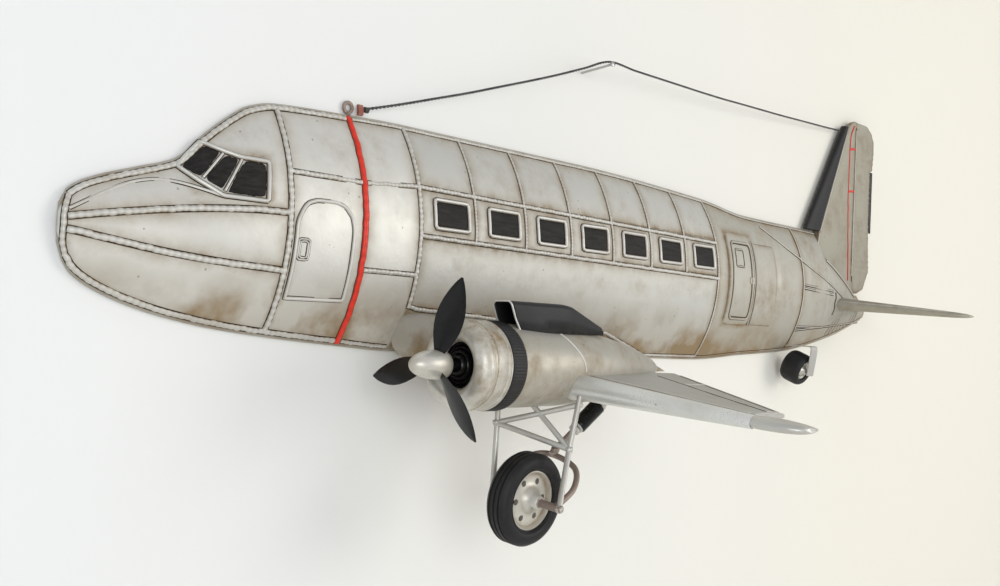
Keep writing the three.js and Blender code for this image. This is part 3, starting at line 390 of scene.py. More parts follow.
def finish(name, paint, metal, rough, stain_colour=colour(0.20, 0.135, 0.065), seams=1.0, low=1.0, clouds=0.3,
           bright=colour(0.80, 0.79, 0.75), rub=0.0, speck=0.4, streak=0.0, flakes=0.05, coat=0.0, bump=0.12,
           shine=0.5):
    """A paint: its colour and shine, and how much of each kind of wear it has."""
    material = bpy.data.materials.new(name)
    material.use_nodes = True
    tree = material.node_tree
    shader = tree.nodes["Principled BSDF"]
    stained = use(tree, stain, Clean=paint, Stain=stain_colour, Seams=seams, Low_down=low, Clouds=clouds)
    grain = use(tree, flake, Flake=flakes)
    edge = use(tree, rubbed, Strength=rub)["Mask"]
    dots = use(tree, specks, Strength=speck)["Mask"]
    marks = use(tree, brushed, Depth=streak)
    shade = blend(tree, edge, stained["Colour"], bright)
    shade = blend(tree, dots, shade, colour(0.03, 0.022, 0.015))
    shade = blend(tree, maths(tree, "MULTIPLY", marks["Mask"], min(streak * 0.2, 0.3)), shade, bright)
    tree.links.new(shade, shader.inputs["Base Color"])
    dull = maths(tree, "ADD", maths(tree, "ADD", rough, grain["Grain"]),
                 maths(tree, "MULTIPLY", stained["Mask"], 0.22))
    tree.links.new(maths(tree, "SUBTRACT", dull, maths(tree, "MULTIPLY", edge, 0.15), clamp=True),
                   shader.inputs["Roughness"])
    tree.links.new(maths(tree, "MULTIPLY", maths(tree, "SUBTRACT", 1.0, stained["Mask"]), metal),
                   shader.inputs["Metallic"])
    shader.inputs["Coat Weight"].default_value = coat
    shader.inputs["Coat Roughness"].default_value = 0.12
    shader.inputs["Specular IOR Level"].default_value = shine
    relief = maths(tree, "ADD", grain["Height"], marks["Height"])
    normal = node(tree, "ShaderNodeBump", {"Height": relief, "Strength": bump, "Distance": 0.0012}).outputs[0]
    tree.links.new(normal, shader.inputs["Normal"])
    return material


silver = colour(0.55, 0.545, 0.50)
tan = colour(0.235, 0.165, 0.085)
finishes = {
    "silver_paint": finish("silver paint", silver, 0.40, 0.46, tan, seams=1.3, low=2.0, clouds=0.6, rub=0.12),
    # The nose silver is a lighter copy of the paint, and the aft and tail silvers below are darker copies:
    # painted light, for the light that falls off from the nose towards the tail. The darker copies also carry
    # more brown stain.
    "nose_lit_silver": finish("nose lit silver paint", colour(0.64, 0.63, 0.58), 0.40, 0.44, tan, seams=1.2, low=1.9,
                          clouds=0.4, rub=0.12),
    "aft_shaded_stained_silver": finish("aft shaded stained silver paint", colour(0.46, 0.445, 0.385), 0.38, 0.48, tan, seams=1.5, low=1.6,
                         clouds=0.75, rub=0.12),
    "nacelle_silver": finish("nacelle silver paint", colour(0.44, 0.42, 0.36), 0.5, 0.42, tan, seams=1.1,
                             low=0.0, clouds=1.0, rub=0.15),
    "plain_silver": finish("plain silver paint", colour(0.50, 0.49, 0.45), 0.55, 0.38, tan, seams=0.9,
                           low=0.0, clouds=0.45, rub=0.2),
    "wing_silver": finish("wing silver paint", colour(0.42, 0.42, 0.385), 0.5, 0.4, tan, seams=1.0, low=0.0,
                          clouds=0.35, rub=0.2),
    # The wing's nose bar gets a lighter, glossier copy of the silver: a painted highlight along the tube.
    "bar_highlight_silver": finish("highlighted silver paint", colour(0.66, 0.66, 0.63), 0.6, 0.3, tan, seams=0.0, low=0.0,
                         clouds=0.25, rub=0.1),
    # The tail silver is darker as painted shade, and browner as real stain.
    "tail_shaded_stained_silver": finish("tail shaded stained silver paint", colour(0.36, 0.34, 0.27), 0.35, 0.5, colour(0.17, 0.115, 0.06),
                          seams=1.3, low=0.0, clouds=0.8, rub=0.15),
    "rim_metal": finish("rim metal", colour(0.40, 0.375, 0.32), 0.35, 0.55, clouds=0.7, rub=0.3),
    "solder_bead": finish("solder bead", colour(0.60, 0.59, 0.545), 0.4, 0.44, seams=0.85, clouds=0.45,
                          rub=0.25, low=0.7),
    "window_trim": finish("window trim", colour(0.62, 0.61, 0.57), 0.5, 0.40, clouds=0.35, rub=0.35, low=0.0),
    "red_enamel": finish("red enamel", colour(0.72, 0.03, 0.012), 0.0, 0.42, colour(0.3, 0.02, 0.012),
                         low=0.2, clouds=0.3, bright=colour(0.8, 0.1, 0.05), rub=0.15, streak=0.15, coat=0.15,
                         bump=0.2, shine=0.3),
    "bright_metal": finish("bright lacquer", colour(0.64, 0.625, 0.56), 0.6, 0.34, tan, low=0.0, seams=1.1,
                           clouds=1.3, rub=0.1, flakes=0.02, coat=0.1, bump=0.04),
    "gloss_black": finish("gloss black enamel", colour(0.004, 0.004, 0.0042), 0.0, 0.24,
                          colour(0.012, 0.009, 0.007),
                          low=0.0, clouds=0.3, bright=colour(0.03, 0.03, 0.03), rub=0.1, speck=0.1, coat=0.1,
                          flakes=0.02, shine=0.25),
    "satin_grey": finish("satin charcoal", colour(0.012, 0.012, 0.0125), 0.0, 0.46,
                         colour(0.04, 0.032, 0.024),
                         low=0.0, bright=colour(0.09, 0.087, 0.083), rub=0.3, speck=0.2, streak=0.12,
                         shine=0.25),
    "aged_brown": finish("aged brown", colour(0.30, 0.24, 0.205), 0.5, 0.42, colour(0.13, 0.075, 0.05),
                         low=0.0, clouds=0.9, bright=colour(0.5, 0.45, 0.4), rub=0.5),
    "red_primer": finish("red primer", colour(0.27, 0.075, 0.045), 0.1, 0.62, colour(0.1, 0.03, 0.02),
                         low=0.0, clouds=0.8, rub=0.3),
    "tyre_rubber": finish("tyre rubber", colour(0.010, 0.010, 0.0105), 0.0, 0.5, colour(0.035, 0.028, 0.022),
                          low=0.0, clouds=0.4, bright=colour(0.045, 0.042, 0.04), rub=0.5, speck=0.0,
                          streak=0.25, flakes=0.06, bump=0.2, shine=0.25),
    "nail_steel": finish("nail steel", colour(0.45, 0.45, 0.45), 1.0, 0.32, low=0.0, clouds=0.3, streak=0.5),
    "black_wire": finish("black wire", colour(0.012, 0.012, 0.013), 0.0, 0.42, colour(0.03, 0.022, 0.015),
                         low=0.0, clouds=0.5, rub=0.2, shine=0.3),
    "window_black": finish("window black", colour(0.010, 0.009, 0.008), 0.0, 0.55, colour(0.05, 0.04, 0.03),
                           low=0.0, seams=0.0, clouds=0.3, streak=0.08, flakes=0.05, bump=0.15, shine=0.15),
    # A dark brown used only for painted shade: lines beside beads, folds and wires, the hinge, the tailplane
    # slot and the wheel's holes.
    "shade_paint": finish("painted shade", colour(0.035, 0.025, 0.015), 0.0, 0.7, low=0.0, clouds=0.6, shine=0.1),
}
print(len(finishes), "finishes")


# %% [markdown]
# ## The hanging wire
# A pair of thin black wires is twisted together, tied to a tab over the nose, hooked on one nail and run down
# to the fin. Its route is a given list, the same list as in the frame. Two strands wind round that line, each
# at its own side of it, one turn to every nine millimetres.

# %% Hanging wire
tab_to_nail = ((0, 6, 8), (0.125, 10, 19.5), (0.25, 14, 32), (0.375, 18, 44.5), (0.5, 22, 58),
               (0.625, 26, 71.5), (0.75, 30, 85.5), (0.875, 34, 100.5), (1, 38, 115.6))
nail_to_fin = ((0.083, 35.5, 116.5), (0.167, 33, 118), (0.25, 30.5, 119.5), (0.333, 28, 121),
               (0.417, 25.5, 123),
               (0.5, 23.5, 125.5), (0.583, 21, 128), (0.667, 18.5, 130.5), (0.75, 16, 133.5),
               (0.833, 13.5, 136.5), (0.917, 11, 139.5), (1, 8.5, 143))
wire_start, wire_end = band_station + 17, body_end - 111
wire_route = [at(wire_start + share * (nail_station - wire_start), out, half + rise) for share, out,
              rise in tab_to_nail]
wire_route += [at(nail_station + share * (wire_end - nail_station), out, half + rise)
               for share, out, rise in nail_to_fin]
wire_line = smooth_line(wire_route, 48)
strand_offset, strand_radius, wire_lay = 0.8, 0.7, 9.0


def strand(clay, side):
    """One of the two strands, wound round the wire's line."""
    path = []
    travelled = 0.0
    for i, (point, (u, v)) in enumerate(zip(wire_line, sides_of(wire_line))):
        if i:
            travelled += (point - wire_line[i - 1]).length / MM
        turn = 2 * math.pi * travelled / wire_lay + side * math.pi
        path.append(point + (u * math.cos(turn) + v * math.sin(turn)) * strand_offset * MM)
    tube(clay, path, strand_radius, 8)


wire_clay = Clay()
strand(wire_clay, 0)
strand(wire_clay, 1)
wire = piece("hanging_wire_strands", wire_clay, "black_wire", "hanging_wire")


# %% [markdown]
# ## The fuselage's shape
# The skin is a shallow arc between two edge lines, one along the top and one along the bottom, and those
# lines are smooth curves through a few knots. The knots are shares of the nose's length and of half the
# body's height, so the curve stays right if the frame changes size. `on_skin` finds any point of it.

# %% Fuselage outline
relief = 0.158
base_depth = 4.3


def through_knots(knots):
    """A smooth line through a few knots that never overshoots them."""
    steps = [(b[1] - a[1]) / (b[0] - a[0]) for a, b in zip(knots, knots[1:])]
    slopes = [steps[0]]
    for before, after in zip(steps, steps[1:]):
        slopes.append(0.0 if before * after <= 0 else 2 / (1 / before + 1 / after))
    slopes.append(steps[-1])

    def line(x):
        i = 0
        while i < len(steps) - 1 and x > knots[i + 1][0]:
            i += 1
        run = knots[i + 1][0] - knots[i][0]
        t = min(max((x - knots[i][0]) / run, 0.0), 1.0)
        rise = knots[i][1] + (knots[i + 1][1] - knots[i][1]) * t * t * (3 - 2 * t)
        return rise + run * (slopes[i] * t * (1 - t) ** 2 - slopes[i + 1] * t * t * (1 - t))

    return line


aft_length = cone_start - cabin_end
cone_length = body_end - cone_start
nose_top = [(0, -0.2), (0.016, -0.03), (0.055, 0.06), (0.17, 0.16), (0.34, 0.26), (0.51, 0.365), (0.64, 0.58),
            (0.77, 0.77), (0.87, 0.88), (1, 0.94)]
body_top = [(band_station, 0.98), (cabin_start, 1), ((cabin_start + cabin_end) / 2, 1), (cabin_end, 0.92),
            (cabin_end + 0.48 * aft_length, 0.82), (cone_start + 0.3 * cone_length, 0.8), (body_end, -0.15)]
nose_bottom = [(0, -0.23), (0.012, -0.31), (0.05, -0.47), (0.13, -0.58), (0.29, -0.695), (0.47, -0.78),
               (0.72, -0.857), (1, -0.91)]
body_bottom = [(band_station, -0.965), (cabin_start, -1), (cabin_end, -1),
               (cabin_end + 0.48 * aft_length, -0.93),
               (cone_start, -0.855), (cone_start + 0.57 * cone_length, -0.62), (body_end, -0.33)]
top_edge = through_knots([(s * nose_length, z * half) for s, z in nose_top]
                         + [(x, z * half) for x, z in body_top])
bottom_edge = through_knots(
    [(s * nose_length, z * half) for s, z in nose_bottom] + [(x, z * half) for x, z in body_bottom])


def skin_depth(x, z):
    """How far the skin stands out from the wall at a station and height."""
    high, low = top_edge(x), bottom_edge(x)
    reach = (high - low) / 2
    crown = relief * (high - low)
    radius = (reach * reach + crown * crown) / (2 * crown)
    across = min(abs(z - (high + low) / 2), reach)
    return base_depth + math.sqrt(radius * radius - across * across) - (radius - crown)


def on_skin(x, z, lift=0.0):
    """A point on the skin's face and the direction out of it, lifted by some millimetres."""
    here = at(x, skin_depth(x, z), z)
    step = -1 if z > (top_edge(x) + bottom_edge(x)) / 2 else 1
    along = at(x + 1, skin_depth(x + 1, z), z) - here
    across = (at(x, skin_depth(x, z + step), z + step) - here) * step
    out = along.cross(across).normalized()
    return here + out * lift * MM, out


def upper_nose_bead(x):
    return half * (-0.15 + 0.21 * math.sin(math.pi / 2 * min(x / nose_length, 1)))


def lower_nose_bead(x):
    share = min(x / nose_length, 1)
    return half * (-0.225 - 0.175 * share - 0.035 * math.sin(math.pi * share))


fin_corner = cone_start + 0.28 * cone_length
hinge = body_end - 60


def fin_foot(x):
    """The slanting line on which the fin stands on the tail cone."""
    return half * (0.5 - 0.51 * (x - fin_corner) / (hinge + 8 - fin_corner))


print("deepest skin", round(skin_depth(cabin_start, 0), 1), "mm from the wall")


# %% [markdown]
# ## The beaten skins
# Each panel is a sheet that was hammered by hand, so it swells a little between its seams and carries
# shallow dents. A grid of points every three millimetres holds both: a pillow that sinks to nothing at the
# seams, and two sizes of noise. The same loop notes how near each point is to a seam, and the stain
# follows that note.

# %% Skins
window_boxes = [tuple(station_of(v.x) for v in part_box(f"window_frame_{i + 1}")) for i in range(window_count)]
trim_boxes = [(x0, x1, 8, 39) for x0, x1 in window_boxes]
trim_boxes += [(cabin_end + 26, cabin_end + 101, -61, 59)]
flat_boxes = trim_boxes[:window_count] + [(cabin_end + 26, cabin_end + 160, -61, 59)]
flat_boxes += [(0.5 * nose_length, 0.9 * nose_length, 0.12 * half, 0.545 * half)]
trim_boxes += [(0.56 * nose_length, 0.9 * nose_length, 0.14 * half, 0.48 * half)]
root_front, root_back = 330, 737
root_line = linear([(root_front, -64), (346, -67), (650, -80), (root_back - 1, -102), (root_back, -300)])
grid_step = 3.0


def nearness(distance, reach=7.0):
    return math.exp(-max(distance, 0.0) / reach)


def trim_nearness(x, z):
    """How near a point is to the outline of a window or a door."""
    best = 0.0
    for x0, x1, z0, z1 in trim_boxes:
        outside = max(x0 - x, x - x1, z0 - z, z - z1)
        if outside < 25:
            best = max(best, 0.8 * nearness(abs(outside), 5.0))
    return best


def springiness(x, z):
    """One where the sheet is free to swell, and nothing where trim is soldered over it."""
    clear = min(max(x0 - x, x - x1, z0 - z, z - z1) for x0, x1, z0, z1 in flat_boxes)
    t = min(max((clear - 1) / 9, 0), 1)
    return t * t * (3 - 2 * t)


def dents(x, z):
    broad = noise.noise(Vector((x / 62, z / 44, 3.1)))
    fine = noise.noise(Vector((x / 21, z / 17, 7.7)))
    return 0.75 * broad + 0.22 * fine


def skin_grid(clay, start, end, lower, upper, ribs):
    """One sheet between two lines, swelling between the given ribs."""
    columns = max(4, round((end - start) / grid_step))
    count = max(4, round(max(upper(x) - lower(x) for x in (start, (start + end) / 2, end)) / grid_step))
    rows, seams = [], []
    for i in range(columns + 1):
        x = start + (end - start) * i / columns
        low, high = lower(x), upper(x)
        bay = max(k for k, rib in enumerate(ribs[:-1]) if rib <= x)
        left, right_rib = ribs[bay], ribs[bay + 1]
        swell = math.sin(math.pi * min(max((x - left) / (right_rib - left), 0), 1))
        row = []
        for j in range(count + 1):
            t = j / count
            z = low + (high - low) * t
            pillow = max(swell * math.sin(math.pi * t), 0) ** 0.5 * springiness(x, z)
            depth = skin_depth(x, z) + 0.75 * pillow - 0.45 + dents(x, z) * pillow
            row.append(at(x, depth, z))
            edge = min(x - left, right_rib - x, z - low, high - z)
            wet = nearness(z - root_line(x), 9.0) if root_front < x < root_back else 0.0
            seams.append(max(nearness(edge), trim_nearness(x, z), wet))
        rows.append(row)
    clay.weave(rows, seam=seams)


def skin(name, spans, lower, upper, ribs, paint="silver_paint"):
    clay = Clay()
    for start, end in spans:
        skin_grid(clay, start, end, lower, upper, ribs)
    return piece(name + "_sheet", clay, paint, name, thickness=1.0, outward=False, crease=50)


def level(value):
    return lambda x: value


seam_gap = 0.15
nose_start = 0.012 * nose_length
cabin_ribs = [cabin_start + i * window_pitch for i in range(window_count + 1)]
nose_span = [(nose_start, nose_length - seam_gap)]
cabin_span = [(cabin_start + seam_gap, cabin_end - seam_gap)]
nose_ribs = [0, nose_length]
cap_clay = Clay()
cap_rows = []
for k in range(7):
    share = k / 6
    x = 0.5 + (nose_start + 0.4 - 0.5) * share
    low, high = bottom_edge(nose_start), top_edge(nose_start)
    squeeze = math.sqrt(share)
    heights = [(low + high) / 2 + (high - low) / 2 * (0.5 + 0.5 * squeeze) * (j / 8 - 1) for j in range(17)]
    cap_rows.append([at(x, 2.6 + (skin_depth(nose_start, z) - 3.1) * squeeze, z) for z in heights])
cap_clay.weave(cap_rows)
# The nose's sheets take the lighter nose silver: painted light.
piece("nose_cap_sheet", cap_clay, "nose_lit_silver", thickness=1.0, outward=False)
skin("nose_crown_skin", nose_span, upper_nose_bead, top_edge, nose_ribs, paint="nose_lit_silver")
skin("nose_cheek_skin", nose_span, lower_nose_bead, upper_nose_bead, nose_ribs, paint="nose_lit_silver")
skin("nose_chin_skin", nose_span, bottom_edge, lower_nose_bead, nose_ribs, paint="nose_lit_silver")
skin("door_bay_skin", [(nose_length + seam_gap, band_station - seam_gap)], bottom_edge, top_edge,
     [nose_length, band_station], paint="nose_lit_silver")
skin("forward_skin", [(band_station + seam_gap, cabin_start - seam_gap)], bottom_edge, top_edge,
     [band_station, cabin_start], paint="nose_lit_silver")
skin("roof_skin", cabin_span, level(upper_bead), top_edge, cabin_ribs)
skin("window_skin", cabin_span, level(lower_bead), level(upper_bead), cabin_ribs)
skin("lower_side_skin", cabin_span, bottom_edge, level(lower_bead), [cabin_start, cabin_end])
skin("aft_skin", [(cabin_end + seam_gap, cone_start - seam_gap)], bottom_edge, top_edge,
     [cabin_end, cone_start], paint="aft_shaded_stained_silver")


def cone_top(x):
    return top_edge(x) if x < fin_corner + 7.9 else min(top_edge(x), fin_foot(min(x, hinge + 8)) - 0.3)


skin("tail_cone_skin", [(cone_start + seam_gap, fin_corner + 7.8), (fin_corner + 8, body_end - 0.5)],
     bottom_edge, cone_top, [cone_start, body_end], paint="aft_shaded_stained_silver")


# %% [markdown]
# ## Solder beads
# A bead is laid by hand as a string of drops, each a little different from the last. The section is a half
# round that swells and shrinks once for every drop, and it follows any line drawn on the skin. A smooth
# bead, with no drops, serves as the raised wire round windows and doors.

# %% Bead maker
def resampled(points, step):
    """The same line, with points an even step apart."""
    line = [Vector(p) for p in points]
    total = sum((b - a).length for a, b in zip(line, line[1:]))
    count = max(2, round(total / step))
    made = [line[0]]
    i, used = 0, 0.0
    for k in range(1, count):
        want = total * k / count
        while used + (line[i + 1] - line[i]).length < want:
            used += (line[i + 1] - line[i]).length
            i += 1
        made.append(line[i].lerp(line[i + 1], (want - used) / (line[i + 1] - line[i]).length))
    return made + [line[-1]]


# Painted shade: dark ribbons laid under the skin's beads, so that a thin dark line shows along both edges.
bead_shade_clay = Clay()
bead_shade_reach, bead_shade_lift, bead_shade_sink = 0.55, 0.1, 0.9


def bead_shade_line(places, width, loop):
    """A painted shade line along both edges of a bead: a thin dark ribbon that shows past it."""
    reach = width / 2 + bead_shade_reach
    rows = []
    for centre, out, side in places:
        row = []
        for share in (-1.05, -1, 0, 1, 1.05):
            sink = bead_shade_sink if abs(share) > 1 else -bead_shade_lift
            row.append(centre + side * share * reach * MM - out * sink * MM)
        rows.append(row)
    bead_shade_clay.weave(rows, loop=loop)


def bead(clay, points, width, height, pitch=5.0, lumpy=0.3, loop=False, lift=0.0, surface=on_skin):
    """A raised bead along (station, height) pairs on a surface."""
    places = []
    step = pitch / 4 if lumpy else 3.0
    line = resampled(points, step)
    if loop:
        line = line[:-1]
    rows, seams = [], []
    drop = 1.0
    for i, (x, z) in enumerate(line):
        if i % 4 == 0:
            drop = 1 + 0.45 * lumpy * rng.uniform(-1, 1)
            drift = 0.18 * lumpy * width * rng.uniform(-1, 1)
        centre, out = surface(x, z, lift)
        before = line[i - 1] if i or loop else line[0]
        after = line[(i + 1) % len(line)] if i + 1 < len(line) or loop else line[-1]
        along = surface(*after, lift)[0] - surface(*before, lift)[0]
        side = out.cross(along).normalized()
        places.append((centre, out, side))
        swell = drop * (1 - lumpy + lumpy * abs(math.sin(math.pi * (i % 4 + 0.5) / 4))) if lumpy else 1.0
        broad = 0.35 * swell + 0.65
        row = [centre + side * (-width / 2 * broad) * MM - out * 0.9 * MM]
        for k in range(7):
            a = math.pi * k / 6
            push = side * ((drift if lumpy else 0.0) - width / 2 * math.cos(a) * broad)
            row.append(centre + (push + out * height * math.sin(a) * swell) * MM)
        row.append(centre + side * (width / 2 * broad) * MM - out * 0.9 * MM)
        rows.append(row)
        valley = 0.55 * (1 - abs(math.sin(math.pi * (i % 4 + 0.5) / 4))) if lumpy else 0.0
        seams += [min(valley + edge, 1.0) for edge in (1.0, 0.8, 0.4, 0.1, 0.0, 0.1, 0.4, 0.8, 1.0)]
    clay.weave(rows, ring=True, loop=loop, caps=not loop, seam=seams)
    # Beads on the skin also get a painted shade line along both edges.
    if surface is on_skin and width > 1.5:
        bead_shade_line(places, width, loop)


def along_body(line, start, end, step=4.0):
    count = max(2, round((end - start) / step))
    return [(start + (end - start) * i / count, line(start + (end - start) * i / count))
            for i in range(count + 1)]


def up_rib(x, low=None, high=None):
    low = bottom_edge(x) + 1 if low is None else low
    high = top_edge(x) - 1 if high is None else high
    return [(x, low + (high - low) * i / 40) for i in range(41)]


def under(line, amount):
    return lambda x: line(x) - amount


def wobbled(points, amount):
    """The same line with the small unsteadiness of a hand."""
    return [(x + amount * noise.noise(Vector((x / 9, z / 9, 1.0))),
             z + amount * noise.noise(Vector((x / 9, z / 9, 5.0)))) for x, z in points]


print("bead maker is ready")

# %% [markdown]
# ## Beads over the nose and the cabin
# The nose has the coarsest drops: along both edges, down the first rib and along its two long seams. The
# cabin's beads are finer, and the roof ribs finer still. Aft of the cabin the seams are only crimped, with
# a fine row of pricks. The red band is laid thicker than the rest and painted with a loaded brush.

# %% Nose and cabin beads
nose_clay = Clay()
drop_length, drop_depth = 6.0, 0.42
for line in (under(top_edge, 1.5), under(bottom_edge, -1.5)):
    bead(nose_clay, along_body(line, 7, band_station - 4), 5.0, 2.2, drop_length, drop_depth)
bead(nose_clay, up_rib(nose_length), 5.2, 2.2, 5.6, drop_depth)
tip_turn = [(7, top_edge(7) - 1.5), (4.2, -7), (2.9, -14), (2.7, -21), (3.2, -29), (4.4, -36),
            (7, bottom_edge(7) + 1.5)]
bead(nose_clay, [tuple(p) for p in smooth_line([Vector(p) for p in tip_turn], 4)], 4.4, 2.0, 5.0, drop_depth)
bead(nose_clay, along_body(upper_nose_bead, 5, nose_length), 5.2, 2.2, drop_length, drop_depth)
bead(nose_clay, along_body(lower_nose_bead, 5, nose_length), 5.2, 2.2, drop_length, drop_depth)
bead(nose_clay, along_body(level(upper_bead - 4), nose_length, band_station - 3), 4.4, 2.0, 5.0, drop_depth)
nose_crease = [(6, -9), (18, -2), (30, 5), (42, 11), (55, 16.5), (68, 20), (80, 21.5), (96, 20.5),
               (112, 17), (125, 13.5)]
bead(nose_clay, [tuple(p) for p in smooth_line([Vector(p) for p in nose_crease], 3)], 2.4, 0.7, lumpy=0.0)
piece("nose_solder", nose_clay, "solder_bead", "nose_beads")

cabin_clay = Clay()
bead(cabin_clay, along_body(under(top_edge, 1.2), band_station + 4, cabin_end), 3.2, 1.5, 4.4, 0.32)
bead(cabin_clay, along_body(under(bottom_edge, -1.2), root_back - 4, cabin_end), 3.2, 1.5, 4.4, 0.32)
bead(cabin_clay, along_body(under(bottom_edge, -1.5), band_station + 4, cabin_start - 8), 3.8, 1.8, 5.0, 0.4)
bead(cabin_clay, along_body(linear([(269, 42), (336, 47), (861, 41)]), band_station + 3, cabin_end), 4.2,
     1.9, 4.8, 0.38)
bead(cabin_clay, along_body(linear([(336, 1), (861, -4)]), cabin_start, cabin_end), 4.2, 1.9, 4.8, 0.38)
bead(cabin_clay, along_body(level(-0.34 * half), band_station + 3, cabin_start), 4.2, 1.9, 5.0, 0.42)
bead(cabin_clay, up_rib(cabin_start, -66), 4.4, 2.1, 5.2, 0.42)
bead(cabin_clay, up_rib(cabin_end), 2.6, 1.3, 3.6, 0.3)
for rib in cabin_ribs[1:-1]:
    bead(cabin_clay, up_rib(rib, lower_bead), 2.8, 1.3, 3.8, 0.25)
bead(cabin_clay, along_body(root_line, root_front + 4, root_back - 3), 4.2, 1.9, 5.0, 0.4)
piece("cabin_solder", cabin_clay, "solder_bead", "cabin_beads")

band_clay = Clay()
bead(band_clay, wobbled(up_rib(band_station, bottom_edge(band_station) - 1, top_edge(band_station) + 1),
                        1.1), 6.0, 2.2, 8.0, 0.16)
piece("red_band_bead", band_clay, "red_enamel", "red_band")
print("bead points", len(nose_clay.points), len(cabin_clay.points), len(band_clay.points))

# %% [markdown]
# ## Crimped seams of the tail
# Behind the cabin the sheets are folded over one another. A low smooth ridge makes the fold, and a dark thread
# pressed against the ridge is its painted shadow. The same pair of strips marks the doubler plates on the tail
# cone.

# %% Aft seams
aft_clay = Clay()
fold_shadow_clay = Clay()


def fold(points, width=2.4, height=0.9, shadow=1.7):
    """A folded seam: a low ridge with a thin dark line of painted shadow beside it."""
    bead(aft_clay, points, width, height, lumpy=0.0, lift=0.2)
    moved = [(x - shadow, z) for x, z in points] if abs(points[0][0] - points[-1][0]) < 1 else [
        (x, z - shadow) for x, z in points]
    bead(fold_shadow_clay, moved, 0.7, 0.25, lumpy=0.0, lift=0.25)


fold(up_rib(cone_start))
fold(along_body(linear([(1000, 78), (1060, 52), (1120, 30), (hinge - 40, -12)]), 1004, hinge - 40))
fold(along_body(lambda x: fin_foot(x) - 4, fin_corner + 12, hinge + 4), 3.0, 1.1)
fold([(cone_start + 3, 3), (cone_start + 100, -1)], 1.8, 0.7)
fold([(cone_start + 3, -2), (cone_start + 100, -6)], 1.8, 0.7)
fold([(cone_start + 3, -57), (cone_start + 90, -55)], 1.8, 0.7)
fold([(cone_start + 3, -62), (cone_start + 235, -42)], 1.8, 0.7)
bead(aft_clay, along_body(under(top_edge, 0.8), cabin_end + 2, fin_corner + 6), 2.4, 1.0, lumpy=0.0)
bead(aft_clay, along_body(under(bottom_edge, -0.8), cabin_end + 2, body_end - 12), 2.4, 1.0, lumpy=0.0)
for k in range(9):
    x = cone_start + 118 + 12 * k
    fold([(x, bottom_edge(x) + 6), (x + 8, bottom_edge(x) + 26)], 2.0, 0.5)
piece("aft_folds", aft_clay, "silver_paint")
# Painted shadow: the dark threads beside every fold.
piece("aft_fold_shadow", fold_shadow_clay, "shade_paint")
print("folds", len(aft_clay.points))

# %% [markdown]
# ## Hem and wall straps
# The edge of the relief is folded flat against the wall. The hem is swept along both edge lines as a
# flattened round. The three straps behind stay as the frame has them, with their corners softened.

# %% Hem and straps
hem_width, hem_depth, hem_overhang = 9.0, 3.0, 3.0


def hem(name, line, side, start, end):
    """A flat folded hem along one edge, closed all round."""
    clay = Clay()
    rows = []
    for x, z in along_body(line, start, end, 5.0):
        row = []
        for k in range(12):
            a = 2 * math.pi * k / 12
            across = hem_width / 2 * math.copysign(abs(math.cos(a)) ** 0.45, math.cos(a))
            out = hem_depth / 2 * (1 + math.copysign(abs(math.sin(a)) ** 0.6, math.sin(a)))
            row.append(at(x, out, z + side * (hem_overhang - hem_width / 2) + across))
        rows.append(row)
    clay.weave(rows, ring=True, caps=True)
    return piece(name + "_hem", clay, "rim_metal", name)


hem("rim_top", top_edge, 1, 2, fin_corner + 6)
hem("rim_bottom", bottom_edge, -1, 2, body_end - 4)
for strap in ("wall_strap_front", "wall_strap_middle", "wall_strap_rear"):
    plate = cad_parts[strap]
    plate.data.materials.clear()
    plate.data.materials.append(finishes["rim_metal"])
    softened = plate.modifiers.new("softened edge", "BEVEL")
    softened.width = 0.6 * MM
    softened.segments = 2
print("hems and straps done")

# %% [markdown]
# ## Windows
# Every window is a raised wire soldered to the skin round a pane that is only black paint. The wire is a
# smooth closed bead that keeps the hand's small wobble, and the paint stops short of it with an uneven
# edge, so a thin silver margin shows.

# %% Windows
def rounded_box(x0, x1, z0, z1, radius, steps=5):
    """The corners of a box, rounded, as (station, height) pairs, closed on the first."""
    corners = [(x1 - radius, z1 - radius), (x0 + radius, z1 - radius), (x0 + radius, z0 + radius),
               (x1 - radius, z0 + radius)]
    points = []
    for quarter, (x, z) in enumerate(corners):
        for k in range(steps + 1):
            a = math.pi / 2 * (quarter + k / steps)
            points.append((x + radius * math.cos(a), z + radius * math.sin(a)))
    return points + points[:1]


def painted_pane(name, corners, seed, slot="window_black", margin=0.0, lift=0.35):
    """A four-cornered film on the skin with an uneven edge."""
    a, b, c, d = [Vector(p) for p in corners]
    middle = (a + b + c + d) / 4
    across, count = 22, 16
    rows = []
    for i in range(across + 1):
        row = []
        for j in range(count + 1):
            u, v = i / across, j / count
            spot = a.lerp(b, u).lerp(d.lerp(c, u), v)
            rim = max(abs(2 * u - 1), abs(2 * v - 1)) ** 6
            corner = (abs(2 * u - 1) * abs(2 * v - 1)) ** 5
            shake = noise.noise(Vector((spot.x / 3.2, spot.y / 3.2, seed))) * 0.7
            pull = margin + corner * 1.6 + shake
            reach = (middle - spot).length or 1.0
            spot = spot + (middle - spot) / reach * rim * pull
            thin = lift * (1 - 0.8 * rim)
            row.append(on_skin(spot.x, spot.y, thin)[0])
        rows.append(row)
    clay = Clay().weave(rows)
    return piece(name, clay, slot, thickness=0.5, outward=False)


